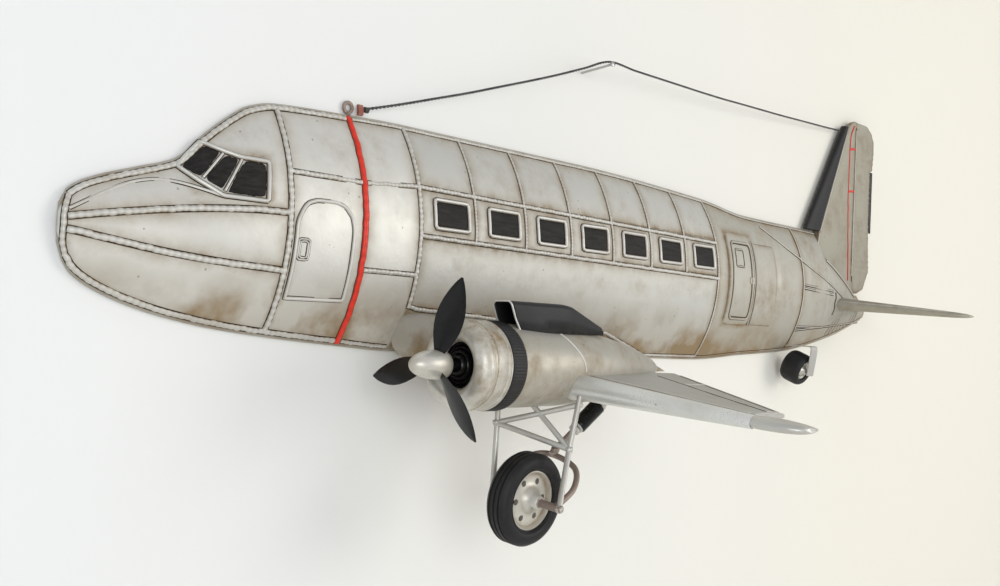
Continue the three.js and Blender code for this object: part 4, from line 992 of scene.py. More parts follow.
window_low, window_high, window_bar = 8.0, 39.0, 4.0
for i, (x0, x1) in enumerate(window_boxes):
    drop = -2.5 * i / (window_count - 1)
    frame_clay = Clay()
    inset = window_bar / 2
    outline = rounded_box(x0 + inset, x1 - inset, window_low + inset + drop, window_high - inset + drop, 2.4)
    bead(frame_clay, wobbled(outline, 0.7), window_bar - 0.4, 1.9, lumpy=0.0, loop=True, lift=0.2)
    piece(f"window_wire_{i + 1}", frame_clay, "window_trim", f"window_frame_{i + 1}")
    edge = window_bar - 0.1
    painted_pane(f"window_pane_{i + 1}",
                 [(x0 + edge, window_low + edge + drop), (x1 - edge, window_low + edge + drop),
                  (x1 - edge, window_high - edge + drop), (x0 + edge, window_high - edge + drop)], i + 2.0)
print("windows", window_count)

# %% [markdown]
# ## Windscreen
# The cockpit glass is three four-sided panes in one raised frame. Each pane has its own wire, and a heavier
# wire runs round all three.

# %% Windscreen
def nose_shares(points):
    return [(x * nose_length, z * half) for x, z in points]


screen_outline = nose_shares([(0.505, 0.325), (0.615, 0.545), (0.70, 0.485), (0.765, 0.452), (0.895, 0.445),
                              (0.88, 0.125), (0.67, 0.13), (0.575, 0.23), (0.505, 0.325)])
screen_panes = [nose_shares(p) for p in (
    [(0.522, 0.33), (0.588, 0.26), (0.684, 0.47), (0.628, 0.518)],
    [(0.602, 0.25), (0.668, 0.176), (0.757, 0.432), (0.702, 0.456)],
    [(0.69, 0.158), (0.866, 0.152), (0.88, 0.422), (0.778, 0.428)])]
screen_clay = Clay()
bead(screen_clay, wobbled(screen_outline, 0.5), 3.6, 2.0, lumpy=0.0, loop=True, lift=0.2)
for i, pane in enumerate(screen_panes):
    painted_pane(f"windscreen_pane_{i + 1}", pane, 11.0 + i)
for left, right_pane in zip(screen_panes, screen_panes[1:]):
    foot = (Vector(left[1]) + Vector(right_pane[0])) / 2
    head = (Vector(left[2]) + Vector(right_pane[3])) / 2
    bead(screen_clay, [tuple(foot), tuple(head)], 2.2, 1.4, lumpy=0.0, lift=0.2)
piece("windscreen_wires", screen_clay, "window_trim", "windscreen_frame")
print("windscreen panes", len(screen_panes))

# %% [markdown]
# ## Doors
# The crew door is only a wire bent to an arch and soldered on, with a small double plate for its handle.
# The passenger door is a raised panel with a second panel beside it, an inner wire, a pressed window and a
# latch. Raised panels are grids that step up from the skin near their edge.

# %% Doors
def arch(x0, x1, z0, z1, radius, steps=8):
    points = [(x0, z0), (x1, z0)]
    for i in range(2 * steps + 1):
        a = math.pi / 2 * i / steps
        middle = x1 - radius if i <= steps else x0 + radius
        points.append((middle + radius * math.cos(a), z1 - radius + radius * math.sin(a)))
    return points + points[:1]


def raised_panel(clay, x0, x1, z0, z1, rise, radius=6.0, slope=1.6):
    """A plate pressed up from the skin, with rounded corners and a sloping edge."""
    columns, count = round((x1 - x0) / 1.6), round((z1 - z0) / 1.6)
    rows, seams = [], []
    for i in range(columns + 1):
        row = []
        for j in range(count + 1):
            x = x0 + (x1 - x0) * i / columns
            z = z0 + (z1 - z0) * j / count
            inner = Vector((max(x0 + radius - x, x - x1 + radius, 0),
                            max(z0 + radius - z, z - z1 + radius, 0)))
            inside = radius - inner.length
            rise_here = rise * min(max(inside / slope, -0.6), 1) - 0.3
            row.append(on_skin(x, z, rise_here + 0.12 * dents(x * 3, z * 3))[0])
            seams.append(nearness(min(x - x0, x1 - x, z - z0, z1 - z), 3.5))
        rows.append(row)
    clay.weave(rows, seam=seams)


door_clay = Clay()
crew_door = arch(nose_length + 7.5, band_station - 12.5, -0.63 * half + 1.5, 0.21 * half - 1.5, 24)
bead(door_clay, wobbled(crew_door, 1.2), 3.4, 2.0, lumpy=0.0, loop=True, lift=0.2)
for grow in (0.0, 3.4):
    plate_line = rounded_box(199.5 - grow / 2, 207.5 + grow / 2, -30 - grow / 2, -16 + grow / 2, 1.5)
    bead(door_clay, plate_line, 1.6, 1.1, lumpy=0.0, loop=True, lift=0.2)
piece("crew_door_wire", door_clay, "solder_bead", "front_door_trim")

rear_clay = Clay()
raised_panel(rear_clay, cabin_end + 26, cabin_end + 92, -61, 59, 2.1, 8.0)
piece("passenger_door", rear_clay, "aft_shaded_stained_silver", "rear_door", thickness=0.8, outward=False)
beside_clay = Clay()
raised_panel(beside_clay, cabin_end + 97, cabin_end + 158, -60, 50, 0.8, 4.0)
piece("door_side_panel", beside_clay, "aft_shaded_stained_silver", thickness=0.6, outward=False)
rear_wires = Clay()
rear_door_shade = Clay()
inner_door = rounded_box(cabin_end + 36, cabin_end + 86, -52, 46, 6)
bead(rear_wires, wobbled(inner_door, 0.8), 3.0, 1.6, lumpy=0.0, loop=True, lift=2.1)
# Painted shade: a thin dark line just inside the door's inner wire, and one between the two upright wires
# beside the door.
bead(rear_door_shade, rounded_box(cabin_end + 38.2, cabin_end + 83.8, -49.8, 43.8, 5), 0.8, 0.35, lumpy=0.0,
     loop=True, lift=2.15)
bead(rear_wires, rounded_box(cabin_end + 45, cabin_end + 66, 15, 37, 1.5), 1.8, 0.9, lumpy=0.0, loop=True,
     lift=2.1)
for x, thick in ((cabin_end + 94, 2.6), (cabin_end + 99, 1.8)):
    bead(rear_wires, up_rib(x, -60, 52), thick, 1.4, lumpy=0.0, lift=0.4)
bead(rear_door_shade, up_rib(cabin_end + 96.6, -60, 52), 0.9, 0.4, lumpy=0.0, lift=0.4)
piece("passenger_door_wires", rear_wires, "aft_shaded_stained_silver")
piece("passenger_door_shade", rear_door_shade, "shade_paint")
latch_clay = Clay()
for x0, x1, z0, z1, rise in ((cabin_end + 78, cabin_end + 92, -7, 4, 3.0),
                             (cabin_end + 82, cabin_end + 89, -5, 2, 4.0)):
    raised_panel(latch_clay, x0, x1, z0, z1, rise, 1.0, 0.8)
piece("passenger_door_latch", latch_clay, "silver_paint", thickness=0.6, outward=False)
print("doors done")

# %% [markdown]
# ## Painted bead shade
# Every bead on the skin has noted where it runs, and one dark ribbon a little wider than the bead lies under
# each. Only its two edges show, as painted shade along the foot of the bead.

# %% Painted bead shade
piece("bead_shade_lines", bead_shade_clay, "shade_paint")
print("points in the bead shade lines", len(bead_shade_clay.points))

# %% [markdown]
# ## Engine cowling
# The cowling is a spun ring with a fat rolled lip, a crease, a ring of small solder drops and a plain drum.
# Turned work is easiest as a profile spun round the engine's own line. The dark flap ring behind it is
# ribbed all round, and the throat holds a few dark rings that stand for the cylinders.

# %% Engine
engine_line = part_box("engine_core")
engine_out = -(engine_line[0].y + engine_line[1].y) / 2 / MM
engine_height = (engine_line[0].z + engine_line[1].z) / 2 / MM
cowl_front = station_of(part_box("cowl")[0].x)
flap_start = station_of(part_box("cowl_flaps")[0].x)
flap_end = station_of(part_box("cowl_flaps")[1].x)
nacelle_end = station_of(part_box("nacelle")[1].x)
cowl_radius = 39.0
throat_radius = 20.0
aft = (1, 0, 0)
engine_zero = at(0, engine_out, engine_height)


def profile_points(pairs, steps):
    return [tuple(p) for p in smooth_line([Vector(p) for p in pairs], steps)]


lip_middle, lip_reach = (throat_radius + cowl_radius) / 2, (cowl_radius - throat_radius) / 2
lip = []
for i in range(17):
    a = math.pi * i / 16
    lip.append((cowl_front + 12 - 12 * math.sin(a), lip_middle - lip_reach * math.cos(a)))
cowl_profile = lip + [
    (cowl_front + 13.0, cowl_radius - 0.8), (cowl_front + 13.6, cowl_radius - 0.1),
    (cowl_front + 14.4, cowl_radius),
    (flap_start - 6, cowl_radius), (flap_start - 5.2, cowl_radius - 0.6), (flap_start - 4.4, cowl_radius),
    (flap_start - 0.3, cowl_radius), (flap_start - 0.3, cowl_radius - 2), (cowl_front + 16, cowl_radius - 3),
    (cowl_front + 14, throat_radius + 4), (cowl_front + 12, throat_radius)]


def cowl_stain(along, radius):
    """Dirt lies in the throat, behind the lip and against the flap ring."""
    behind_lip = math.exp(-abs(along - cowl_front - 14) / 2.5)
    by_flaps = math.exp(-abs(along - flap_start + 3) / 3)
    in_throat = math.exp(-(radius - throat_radius) / 3) if along < cowl_front + 13 else 0
    return min(0.9, 0.8 * behind_lip + 0.6 * by_flaps + 0.9 * in_throat)


cowl_clay = turned(Clay(), cowl_profile, engine_zero, aft, 96, worn=cowl_stain)
piece("cowl_ring", cowl_clay, "bright_metal", "cowl", crease=50)


def round_engine(station, radius, angle, lift=0.0):
    """A point on a drum round the engine's line, and the direction out of it."""
    out = Vector((0, -math.cos(angle), math.sin(angle)))
    return at(station, engine_out, engine_height) + out * (radius + lift) * MM, out


def drum_surface(radius):
    """The drum rolled flat, so that a bead can follow (station, arc length) pairs on it."""
    return lambda x, arc, lift=0.0: round_engine(x, radius, arc / cowl_radius, lift)


def drum_ring(clay, station, radius, width, height, pitch, lumpy):
    around = [(station, 2 * math.pi * cowl_radius * k / 90) for k in range(91)]
    bead(clay, around, width, height, pitch, lumpy, loop=True, surface=drum_surface(radius))


ring_clay = Clay()
drum_ring(ring_clay, cowl_front + 12.5, cowl_radius - 0.4, 1.5, 0.8, 4.0, 0.0)
drum_ring(ring_clay, cowl_front + 18, cowl_radius, 2.2, 1.1, 3.6, 0.5)
drum_ring(ring_clay, flap_start - 1.4, cowl_radius, 1.6, 0.9, 4.0, 0.0)
piece("cowl_beads", ring_clay, "bright_metal")

rib_count, rib_depth = 90, 0.45
flap_profile = [(flap_start + 0.2, cowl_radius - 3.9), (flap_start + 0.2, cowl_radius + 0.7)]
flap_profile += [(flap_start + 1 + 16 * k / 6, cowl_radius + 1.1) for k in range(7)]
flap_profile += [(flap_end - 0.2, cowl_radius + 0.6), (flap_end - 0.2, cowl_radius - 3.9),
                 (flap_start + 0.2, cowl_radius - 3.9)]


def flap_rib(angle, station):
    outside = flap_start + 0.5 < station < flap_end - 0.5
    return -rib_depth * (0.5 + 0.5 * math.cos(rib_count * angle)) if outside else 0.0


flap_clay = turned(Clay(), flap_profile, engine_zero, aft, rib_count * 4, flap_rib)
piece("cowl_flap_ring", flap_clay, "satin_grey", "cowl_flaps", crease=70)

prop_station = station_of((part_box("blade_1")[0].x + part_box("blade_1")[1].x) / 2)
shaft_radius = 4.0
core_profile = [(prop_station - 3, 0), (prop_station - 3, shaft_radius), (cowl_front + 3, shaft_radius)]
for k in range(5):
    ring_radius = 7.0 + 4.0 * k
    ring_front = cowl_front + 5 + 3.2 * k
    core_profile += [(ring_front + 3.0, ring_radius - 1.2), (ring_front, ring_radius - 0.6),
                     (ring_front - 0.4, ring_radius + 0.6), (ring_front + 0.6, ring_radius + 1.6)]
core_profile += [(cowl_front + 22, cowl_radius - 6), (flap_start - 0.4, cowl_radius - 6),
                 (flap_start - 0.4, 0)]
piece("engine_rings", turned(Clay(), core_profile, engine_zero, aft, 64), "gloss_black", "engine_core",
      crease=60)
print("engine at", round(engine_out), "mm out,", round(engine_height), "mm high")

# %% [markdown]
# ## Nacelle
# Behind the cowling the nacelle is a long drum that closes to a point. It is one smooth profile with soft
# dents beaten in, and thin wires are soldered over its seams.

# %% Nacelle
nacelle_length = nacelle_end - flap_end
nacelle_radius = cowl_radius - 1.5
nacelle_profile = [(flap_start + 0.3, 0), (flap_start + 0.3, nacelle_radius - 3),
                   (flap_end + 0.3, nacelle_radius - 3), (flap_end + 0.3, nacelle_radius)]
taper = [(0.02, 1.0), (0.18, 0.995), (0.35, 0.97), (0.55, 0.86), (0.75, 0.62), (0.92, 0.3), (1.0, 0.02)]
nacelle_profile += profile_points([(flap_end + s * nacelle_length, r * nacelle_radius) for s, r in taper], 8)
nacelle_profile += [(nacelle_end, 0)]


def nacelle_dent(angle, station):
    spot = Vector((station / 30, math.cos(angle) * 1.6, math.sin(angle) * 1.6))
    return 0.35 * noise.noise(spot) if flap_end + 4 < station < nacelle_end - 6 else 0.0


def nacelle_stain(along, radius):
    return 0.9 * math.exp(-abs(along - flap_end) / 5)


nacelle_clay = turned(Clay(), nacelle_profile, engine_zero, aft, 96, nacelle_dent, nacelle_stain)
piece("nacelle_drum", nacelle_clay, "nacelle_silver", "nacelle")
nacelle_radius_at = linear([(flap_end + s * nacelle_length, r * nacelle_radius) for s, r in taper])


def nacelle_surface(x, degrees, lift=0.0):
    return round_engine(x, nacelle_radius_at(x), math.radians(degrees), lift)


nacelle_wires = Clay()
seam_over = [(410, 96), (413, 75), (418, 55), (424, 38), (431, 22), (436, 8), (438, -4)]
bead(nacelle_wires, [tuple(p) for p in smooth_line([Vector(p) for p in seam_over], 6)], 2.0, 1.1, lumpy=0.0,
     surface=nacelle_surface)
piece("nacelle_wires", nacelle_wires, "window_trim")
print("nacelle", round(nacelle_length), "mm long")

# %% [markdown]
# ## Spinner and blades
# The spinner is a small spun cone on the shaft. A blade is cut from plate as a leaf, twisted so that its
# root bites harder than its tip, and filed to a ridge down the middle of its face. Rows of points across
# the leaf give all three.

# %% Propeller
spinner_front = station_of(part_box("spinner")[0].x)
spinner_back = station_of(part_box("spinner")[1].x)
spinner_radius = 12.5
spinner_profile = []
for k in range(15):
    a = math.pi / 2 * k / 14
    spinner_profile.append((spinner_front + 28 * (1 - math.cos(a)), spinner_radius * math.sin(a)))
spinner_profile += [(spinner_back - 5, 0.97 * spinner_radius), (spinner_back - 1, 0.9 * spinner_radius),
                    (spinner_back, 0.8 * spinner_radius), (spinner_back, shaft_radius + 0.4),
                    (prop_station - 3.4, shaft_radius + 0.4), (prop_station - 3.4, 0)]


def spinner_stain(along, radius):
    return 0.75 * math.exp(-(along - spinner_front) / 5) + 0.5 * math.exp(-(spinner_back - along) / 4)


spinner_clay = turned(Clay(), spinner_profile, engine_zero, aft, 48, worn=spinner_stain)
piece("spinner_cone", spinner_clay, "bright_metal", "spinner", "propeller")

prop_radius = 78.0
leaf = linear([(0.12, 0.1), (0.2, 0.17), (0.3, 0.25), (0.42, 0.315), (0.52, 0.335), (0.62, 0.325),
               (0.72, 0.285), (0.82, 0.22), (0.9, 0.15), (0.96, 0.085), (1.0, 0.02)])
blade_lead = 20.0


def blade(number):
    """One twisted leaf with a filed ridge, growing out from the spinner."""
    swing = Matrix.Rotation(math.radians(blade_lead + number * 120), 3, "X")
    centre = at(prop_station, engine_out, engine_height)
    rows = []
    for i in range(37):
        share = 0.12 + 0.88 * i / 36
        chord = (leaf(share - 0.02) + leaf(share) + leaf(share + 0.02)) / 3 * prop_radius / 2
        pitch = math.radians(32 - 19 * share)
        thick = 1.25 - 0.6 * share
        row = []
        for k in range(20):
            a = 2 * math.pi * k / 20
            u = chord * math.cos(a)
            face = 1 - abs(math.cos(a))
            v = math.copysign(thick * (0.35 * abs(math.sin(a)) + 0.75 * face), math.sin(a))
            local = Vector((u * math.sin(pitch) + v * math.cos(pitch),
                            v * math.sin(pitch) - u * math.cos(pitch), share * prop_radius))
            row.append(centre + swing @ local * MM)
        rows.append(row)
    clay = Clay().weave(rows, ring=True, caps=True)
    piece(f"propeller_blade_{number + 1}", clay, "gloss_black", f"blade_{number + 1}", "propeller", crease=24)


for number in range(3):
    blade(number)
print("blades reach", prop_radius, "mm")

# %% [markdown]
# ## Air scoop
# On top of the nacelle sits a bent sheet hood, open at its mouth and running out to nothing behind. It is
# a sheet, so it is woven as one surface and given a thickness, and its bare mouth has a rolled silver lip.

# %% Air scoop
scoop_out = 128.0
scoop_width = 16.0
scoop_length = 136
scoop_top = linear([(0, 0), (2, 0), (70, 0), (84, -1.6), (136, -18.5)])
scoop_span = linear([(0, 0.72), (30, 0.9), (76, 1.0), (136, 0.62)])
mouth_slant = 16.0


def scoop_row(x, inset=0.0):
    """The hood's outline across one station, from its inner foot over the top to its outer foot."""
    reach = scoop_width * scoop_span(x) - inset
    top = engine_height + cowl_radius - 2 + 21 + scoop_top(x) - inset
    foot = engine_height + 24 + (7 if x > 40 else 4 * max(0, 1 - x / 12))
    foot = min(foot, top - 2)
    points = [(-reach, foot), (-reach, foot + 0.5 * (top - foot))]
    corner = 5.0
    for k in range(7):
        a = math.pi * (1 - 0.5 * k / 6)
        points.append((-reach + corner + corner * math.cos(a), top - corner + corner * math.sin(a)))
    points += [(-y, z) for y, z in points[::-1]]
    slant = mouth_slant * max(0.0, 1 - x / 45)
    made = []
    for y, z in points:
        down = min(max((top - z) / (top - foot), 0), 1)
        made.append(at(flap_end + 0.3 + x + slant * down ** 1.5, scoop_out - y, max(z, foot - 2)))
    return made


scoop_clay = Clay().weave([scoop_row(scoop_length * k / 34) for k in range(35)])
piece("scoop_hood", scoop_clay, "satin_grey", "air_scoop", thickness=1.4, outward=False, crease=60)
lip_clay = Clay()
tube(lip_clay, scoop_row(0.4, 0.4), 0.9, 10)
piece("scoop_lip", lip_clay, "window_trim")
print("scoop", round(2 * scoop_width), "mm wide")

# %% [markdown]
# ## Wings
# The inner wing is a thick stub between the body and the nacelle. Outside the nacelle a flat wedge runs out
# behind a tapering round tube that makes the nose of the wing, and a rounded tip closes both. All are
# lofted from sections, with thin wires over the top for the flap and the aileron.

# %% Wings
def lofted(first, last, count, belly=0.0):
    """Rows between two matching outlines, with the middle rows swollen a little."""
    rows = []
    for i in range(count + 1):
        t = i / count
        row = [a.lerp(b, t) for a, b in zip(first, last)]
        middle = sum(row, Vector()) / len(row)
        rows.append([p + (p - middle) * belly * math.sin(math.pi * t) for p in row])
    return rows


def ring_of(points, steps=6):
    """A closed outline with soft corners through its chosen points."""
    closed = [points[-1]] + points + points[:2]
    line = smooth_line(closed, steps)
    return line[steps:-steps - 1]


def root_top(x):
    return half * (-0.63 - 0.13 * (x - 338) / 302)


stub_front, stub_back = cabin_start + 2, 640
stub_in = [at(x, 10, z) for x, z in (
    (stub_front - 8, root_top(stub_front) - 16), (stub_front, root_top(stub_front) - 2),
    (stub_front + 60, root_top(stub_front + 60) + 1), (stub_back - 120, root_top(stub_back - 120)),
    (stub_back + 50, -0.87 * half), (stub_back + 20, -1.0 * half), (stub_back - 140, -1.12 * half),
    (stub_front + 40, -1.15 * half), (stub_front - 2, -1.02 * half))]
stub_out = [at(x, engine_out, z) for x, z in (
    (flap_end - 2, engine_height), (flap_end + 2, engine_height + 13), (flap_end + 50, engine_height + 14),
    (stub_back - 110, engine_height + 8), (stub_back - 24, engine_height - 2),
    (stub_back - 40, engine_height - 4),
    (stub_back - 120, engine_height - 8), (flap_end + 40, engine_height - 13),
    (flap_end, engine_height - 10))]
stub_clay = Clay().weave(lofted(ring_of(stub_in), ring_of(stub_out), 14, 0.012), ring=True, caps=True)
piece("wing_stub_box", stub_clay, "silver_paint", "wing_stub", crease=50)

wing_height = engine_height - 17
wing_out_root, wing_out_panel, wing_out_tip = 150.0, 328.0, 371.0
nose_root, nose_tip = 12.0, 6.0


def wing_line(out):
    return wing_height - 0.1 * (out - wing_out_root)


def wing_share(out):
    return (out - wing_out_root) / (wing_out_panel - wing_out_root)


def tube_radius(out):
    return nose_root + (nose_tip - nose_root) * wing_share(out)


def wing_front(out):
    return 423.5 + 16.5 * wing_share(out)


def wing_back(out):
    return 609 - 109 * wing_share(out)


def wing_row(out):
    """The wedge behind the nose tube at one distance out."""
    r = tube_radius(out)
    z, front, back_edge = wing_line(out), wing_front(out) + 2 * r + 0.3, wing_back(out)
    points = []
    for k in range(19):
        t = k / 18
        x = front + (back_edge - front) * t
        top = r - 0.6 - 0.9 * t * r / nose_root + 0.8 * math.sin(math.pi * t)
        points.append((x, top + 0.3 * noise.noise(Vector((x / 24, out / 20, 2.0))) * math.sin(math.pi * t)))
    for k in range(19):
        t = 1 - k / 18
        x = front + (back_edge - front) * t
        points.append((x, -(r - 0.6) + (2 * r - 1.2 - 3.0) * t))
    return [at(x, out, z + h) for x, h in points]


wing_clay = Clay().weave([wing_row(136 + 191.5 * k / 48) for k in range(49)], ring=True, caps=True)
piece("outer_wing_wedge", wing_clay, "wing_silver", "outer_wing", crease=45)
nose_clay = Clay()
tube_outs = [143 + 185 * k / 30 for k in range(31)]
tube_path = [at(wing_front(out) + tube_radius(out), out, wing_line(out)) for out in tube_outs]
tube(nose_clay, tube_path, [tube_radius(out) for out in tube_outs], 40)
# The bar's lighter silver is a painted highlight.
piece("wing_nose_bar", nose_clay, "bar_highlight_silver", "wing_nose_tube")
cuff_clay = Clay()
tube(cuff_clay, smooth_line([at(435.6 + 11.9 * math.cos(a), 146 - 1.5 * math.sin(a),
                                wing_line(146) + 12.6 * math.sin(a))
                             for a in [2 * math.pi * k / 16 for k in range(17)]], 3), 0.9, 8)

tip_rows = []
for k in range(17):
    t = k / 16
    out = wing_out_panel + 0.5 + t * (wing_out_tip - wing_out_panel - 1)
    round_off = math.sqrt(max(1 - t * t * 0.97, 0))
    front = wing_front(wing_out_panel) + (1 - round_off) * 23
    back_edge = wing_back(wing_out_panel) - (1 - round_off) * 27
    thick = nose_tip * (0.3 + 0.65 * round_off)
    row = []
    for j in range(28):
        a = 2 * math.pi * j / 28
        along = 0.5 - 0.5 * math.cos(a)
        body = thick * min(1.0, math.sqrt(8 * along)) * (1 - along) ** 0.55
        row.append(at(front + (back_edge - front) * along, out,
                      wing_line(out) + math.copysign(body + 0.3 * math.sin(a) ** 2, math.sin(a))))
    tip_rows.append(row)
piece("wing_tip_cap", Clay().weave(tip_rows, ring=True, caps=True), "plain_silver", "wing_tip", crease=60)


def on_wing(x, out, lift=0.0):
    """A point on top of the outer wing."""
    r = tube_radius(out)
    front, back_edge = wing_front(out) + 2 * r, wing_back(out)
    t = min(max((x - front) / (back_edge - front), 0), 1)
    top = r - 0.6 - 0.9 * t * r / nose_root + 0.8 * math.sin(math.pi * t)
    return at(x, out, wing_line(out) + top + lift), Vector((0, 0, 1))


wing_wires = Clay()
wing_marks = (150, 200, 260, 322)
aileron = [(wing_back(o) - s, o) for o, s in ((152, 2), (200, 2), (260, 2), (300, 2), (322, 3))]
inner_line = [(wing_back(o) - s, o) for o, s in ((156, 46), (200, 40), (260, 31), (318, 20))]
for run in (aileron, inner_line, [inner_line[-1], aileron[-1]], [inner_line[1], aileron[1]],
            [(wing_front(326) + 12, 326), (wing_back(326) - 2, 326)],
            [(wing_front(o) + 2 * tube_radius(o) + 1, o) for o in wing_marks]):
    bead(wing_wires, run, 1.6, 0.9, lumpy=0.0, surface=on_wing)
piece("wing_wires", wing_wires, "window_trim")
# Painted shade: thin dark lines where the nose tube meets the wedge and beside the flap and aileron wires.
wing_shadow = Clay()
for run in ([(wing_front(o) + 2 * tube_radius(o) + 2.2, o) for o in wing_marks],
            [(x - 1.5, o) for x, o in inner_line], [(x - 1.5, o) for x, o in aileron]):
    bead(wing_shadow, run, 1.3, 0.35, lumpy=0.0, surface=on_wing)
piece("wing_shade_lines", wing_shadow, "shade_paint")
piece("wing_cuff", cuff_clay, "window_trim")
print("wing reaches", wing_out_tip, "mm from the wall")

# %% [markdown]
# ## Undercarriage frame
# Seven thin tubes are cut to length and soldered where they meet. Each is a round bar between two points,
# and a small lump of solder covers each meeting. The axle passes through the wheel and leans a little.

# %% Undercarriage
wheel_station = 392
wheel_out = 131
wheel_height = engine_height - 119
wheel_cant = math.radians(6)
wheel_centre = at(wheel_station, wheel_out, wheel_height)
axle_line = Vector((0, -math.cos(wheel_cant), -math.sin(wheel_cant)))


def along_axle(distance):
    return wheel_centre + axle_line * distance * MM


def solder_lump(clay, place, size, seed):
    """A small uneven blob of solder."""
    rows = []
    for i in range(9):
        polar = math.pi * i / 8
        row = []
        for k in range(12):
            a = 2 * math.pi * k / 12
            way = Vector((math.sin(polar) * math.cos(a), math.sin(polar) * math.sin(a), math.cos(polar)))
            row.append(place + way * size * (1 + 0.25 * noise.noise(way * 1.4 + Vector((seed, 0, 0)))) * MM)
        rows.append(row)
    clay.weave(rows, ring=True)


leg_top = engine_height - cowl_radius + 8
in_leg, out_leg = 100, 160
fork = at(383, in_leg, engine_height - 53)
knee = at(416, out_leg, engine_height - 73)
foot_in = at(382, in_leg, wheel_height + 4)
wing_joint = at(429, out_leg, wing_height - nose_root + 1)
wing_joint_low = at(429, out_leg, wing_height - nose_root - 4)
axle_in, axle_out = -26, 43
gear_clay = Clay()
for start, end in ((at(385, in_leg, leg_top + 6), foot_in), (foot_in, along_axle(axle_in + 3)),
                   (wing_joint + Vector((0, 0, 0.004)), knee), (knee, along_axle(axle_out - 3)),
                   (fork, wing_joint_low), (fork, knee), (at(404, engine_out, leg_top - 2), knee)):
    tube(gear_clay, [start.lerp(end, k / 6) for k in range(7)], 2.6, 20)
for seed, (place, size) in enumerate(((fork, 3.4), (knee, 3.8), (foot_in, 3.1), (wing_joint_low, 3.3),
                                      (along_axle(axle_out - 3), 3.9), (along_axle(axle_in + 3), 3.4))):
    solder_lump(gear_clay, place, size, seed * 3.7)
piece("gear_tubes", gear_clay, "plain_silver", "gear_frame", crease=50)
axle_clay = Clay()
turned(axle_clay, [(axle_in, 0), (axle_in, 2.9), (axle_in + 0.8, 3.5), (14, 3.5), (14.5, 4.6), (18, 4.8),
                   (18.6, 3.6),
                   (axle_out - 0.8, 3.5), (axle_out, 2.8), (axle_out, 0)], wheel_centre, axle_line, 28)
piece("axle_rod", axle_clay, "aged_brown", "axle")
bow_points = [along_axle(axle_in + 7), at(418, 105, wheel_height + 30), at(438, 117, wheel_height + 37),
              at(441, 147, wheel_height + 27), at(425, 160, wheel_height + 10), along_axle(axle_out - 8)]
shock_foot = at(436, 127, wheel_height + 41)
shock_head = at(486, 141, wing_height - nose_root - 4)
fork_clay = Clay()
tube(fork_clay, smooth_line(bow_points, 12), 2.8, 20)
tube(fork_clay, [shock_foot.lerp(shock_head, -0.08 + 0.5 * k / 4) for k in range(5)], 3.0, 20)
solder_lump(fork_clay, shock_foot, 4.2, 51.0)
piece("fork_bow", fork_clay, "aged_brown", "fork_tube")
shock_length = (shock_head - shock_foot).length / MM
boot_profile = [(0.49, 0), (0.49, 7.0), (0.505, 7.8)]
boot_profile += [(0.52 + 0.4 * k / 24, 7.9 - 0.25 * (k % 2)) for k in range(25)]
boot_profile += [(0.93, 7.4), (0.93, 0)]
shock_axis = shock_head - shock_foot
boot_clay = turned(Clay(), [(s * shock_length, r) for s, r in boot_profile], shock_foot, shock_axis, 40)
piece("shock_sleeve", boot_clay, "gloss_black", "shock_boot", crease=50)
collar_clay = Clay()
for low_end, high_end, radius in ((0.40, 0.45, 5.6), (0.46, 0.5, 6.4), (0.925, 0.98, 7.2), (0.98, 1.06, 6.0)):
    collar = [(low_end, 0), (low_end, radius - 0.6), (low_end + 0.006, radius), (high_end - 0.006, radius),
              (high_end, radius - 0.6), (high_end, 0)]
    turned(collar_clay, [(s * shock_length, r) for s, r in collar], shock_foot, shock_axis, 32)
piece("shock_collars", collar_clay, "plain_silver")
print("undercarriage", round(shock_length), "mm of shock strut")

# %% [markdown]
# ## Main wheel
# The wheel is a spun dish with six holes punched round a cone, inside a solid rubber tyre with three
# grooves. Both are turned about the axle. The holes are cut through the dish by six small rods.

# %% Main wheel
wheel_radius, disc_radius = 42.5, 27.0
disc_profile = [(-7, 3.8), (-7, 8), (-4.5, disc_radius - 4), (-8, disc_radius - 1.4), (-8.6, disc_radius),
                (8.6, disc_radius), (8.8, disc_radius - 0.8), (8.0, disc_radius - 1.6),
                (4.6, disc_radius - 3.4),
                (4.6, disc_radius - 6), (4.7, 19), (4.9, 17), (5.2, 15), (5.8, 13.4), (6.6, 12), (9.6, 9),
                (12.6, 7.2), (17.0, 6.2), (17.8, 5.4), (17.8, 3.8), (-7, 3.8)]


def punched(disc, count, out, radius, axis, centre):
    """Cuts a ring of round holes through a turned disc."""
    u = axis.orthogonal().normalized()
    v = axis.cross(u)
    rods = Clay()
    for k in range(count):
        a = 2 * math.pi * (k + 0.3) / count
        middle = centre + (u * math.cos(a) + v * math.sin(a)) * out * MM
        tube(rods, [middle - axis * 30 * MM, middle + axis * 30 * MM], radius, 20)
    mesh = bpy.data.meshes.new("punch")
    mesh.from_pydata([tuple(p) for p in rods.points], [], rods.faces)
    punch = bpy.data.objects.new("punch", mesh)
    bpy.context.scene.collection.objects.link(punch)
    form = bmesh.new()
    form.from_mesh(mesh)
    bmesh.ops.recalc_face_normals(form, faces=form.faces)
    form.to_mesh(mesh)
    form.free()
    cut = disc.modifiers.new("holes", "BOOLEAN")
    cut.operation = "DIFFERENCE"
    cut.solver = "EXACT"
    cut.object = punch
    bpy.context.view_layer.update()
    evaluated = disc.evaluated_get(bpy.context.evaluated_depsgraph_get())
    finished = bpy.data.meshes.new_from_object(evaluated)
    disc.modifiers.clear()
    disc.data = finished
    finished.set_sharp_from_angle(angle=math.radians(35))
    bpy.data.objects.remove(punch)


def disc_stain(along, radius):
    """Dirt lies inside the rim and round the foot of the hub."""
    return min(0.95, 0.95 * math.exp(-abs(radius - disc_radius + 3) / 3.5)
               + 0.6 * math.exp(-abs(radius - 12) / 2.5))


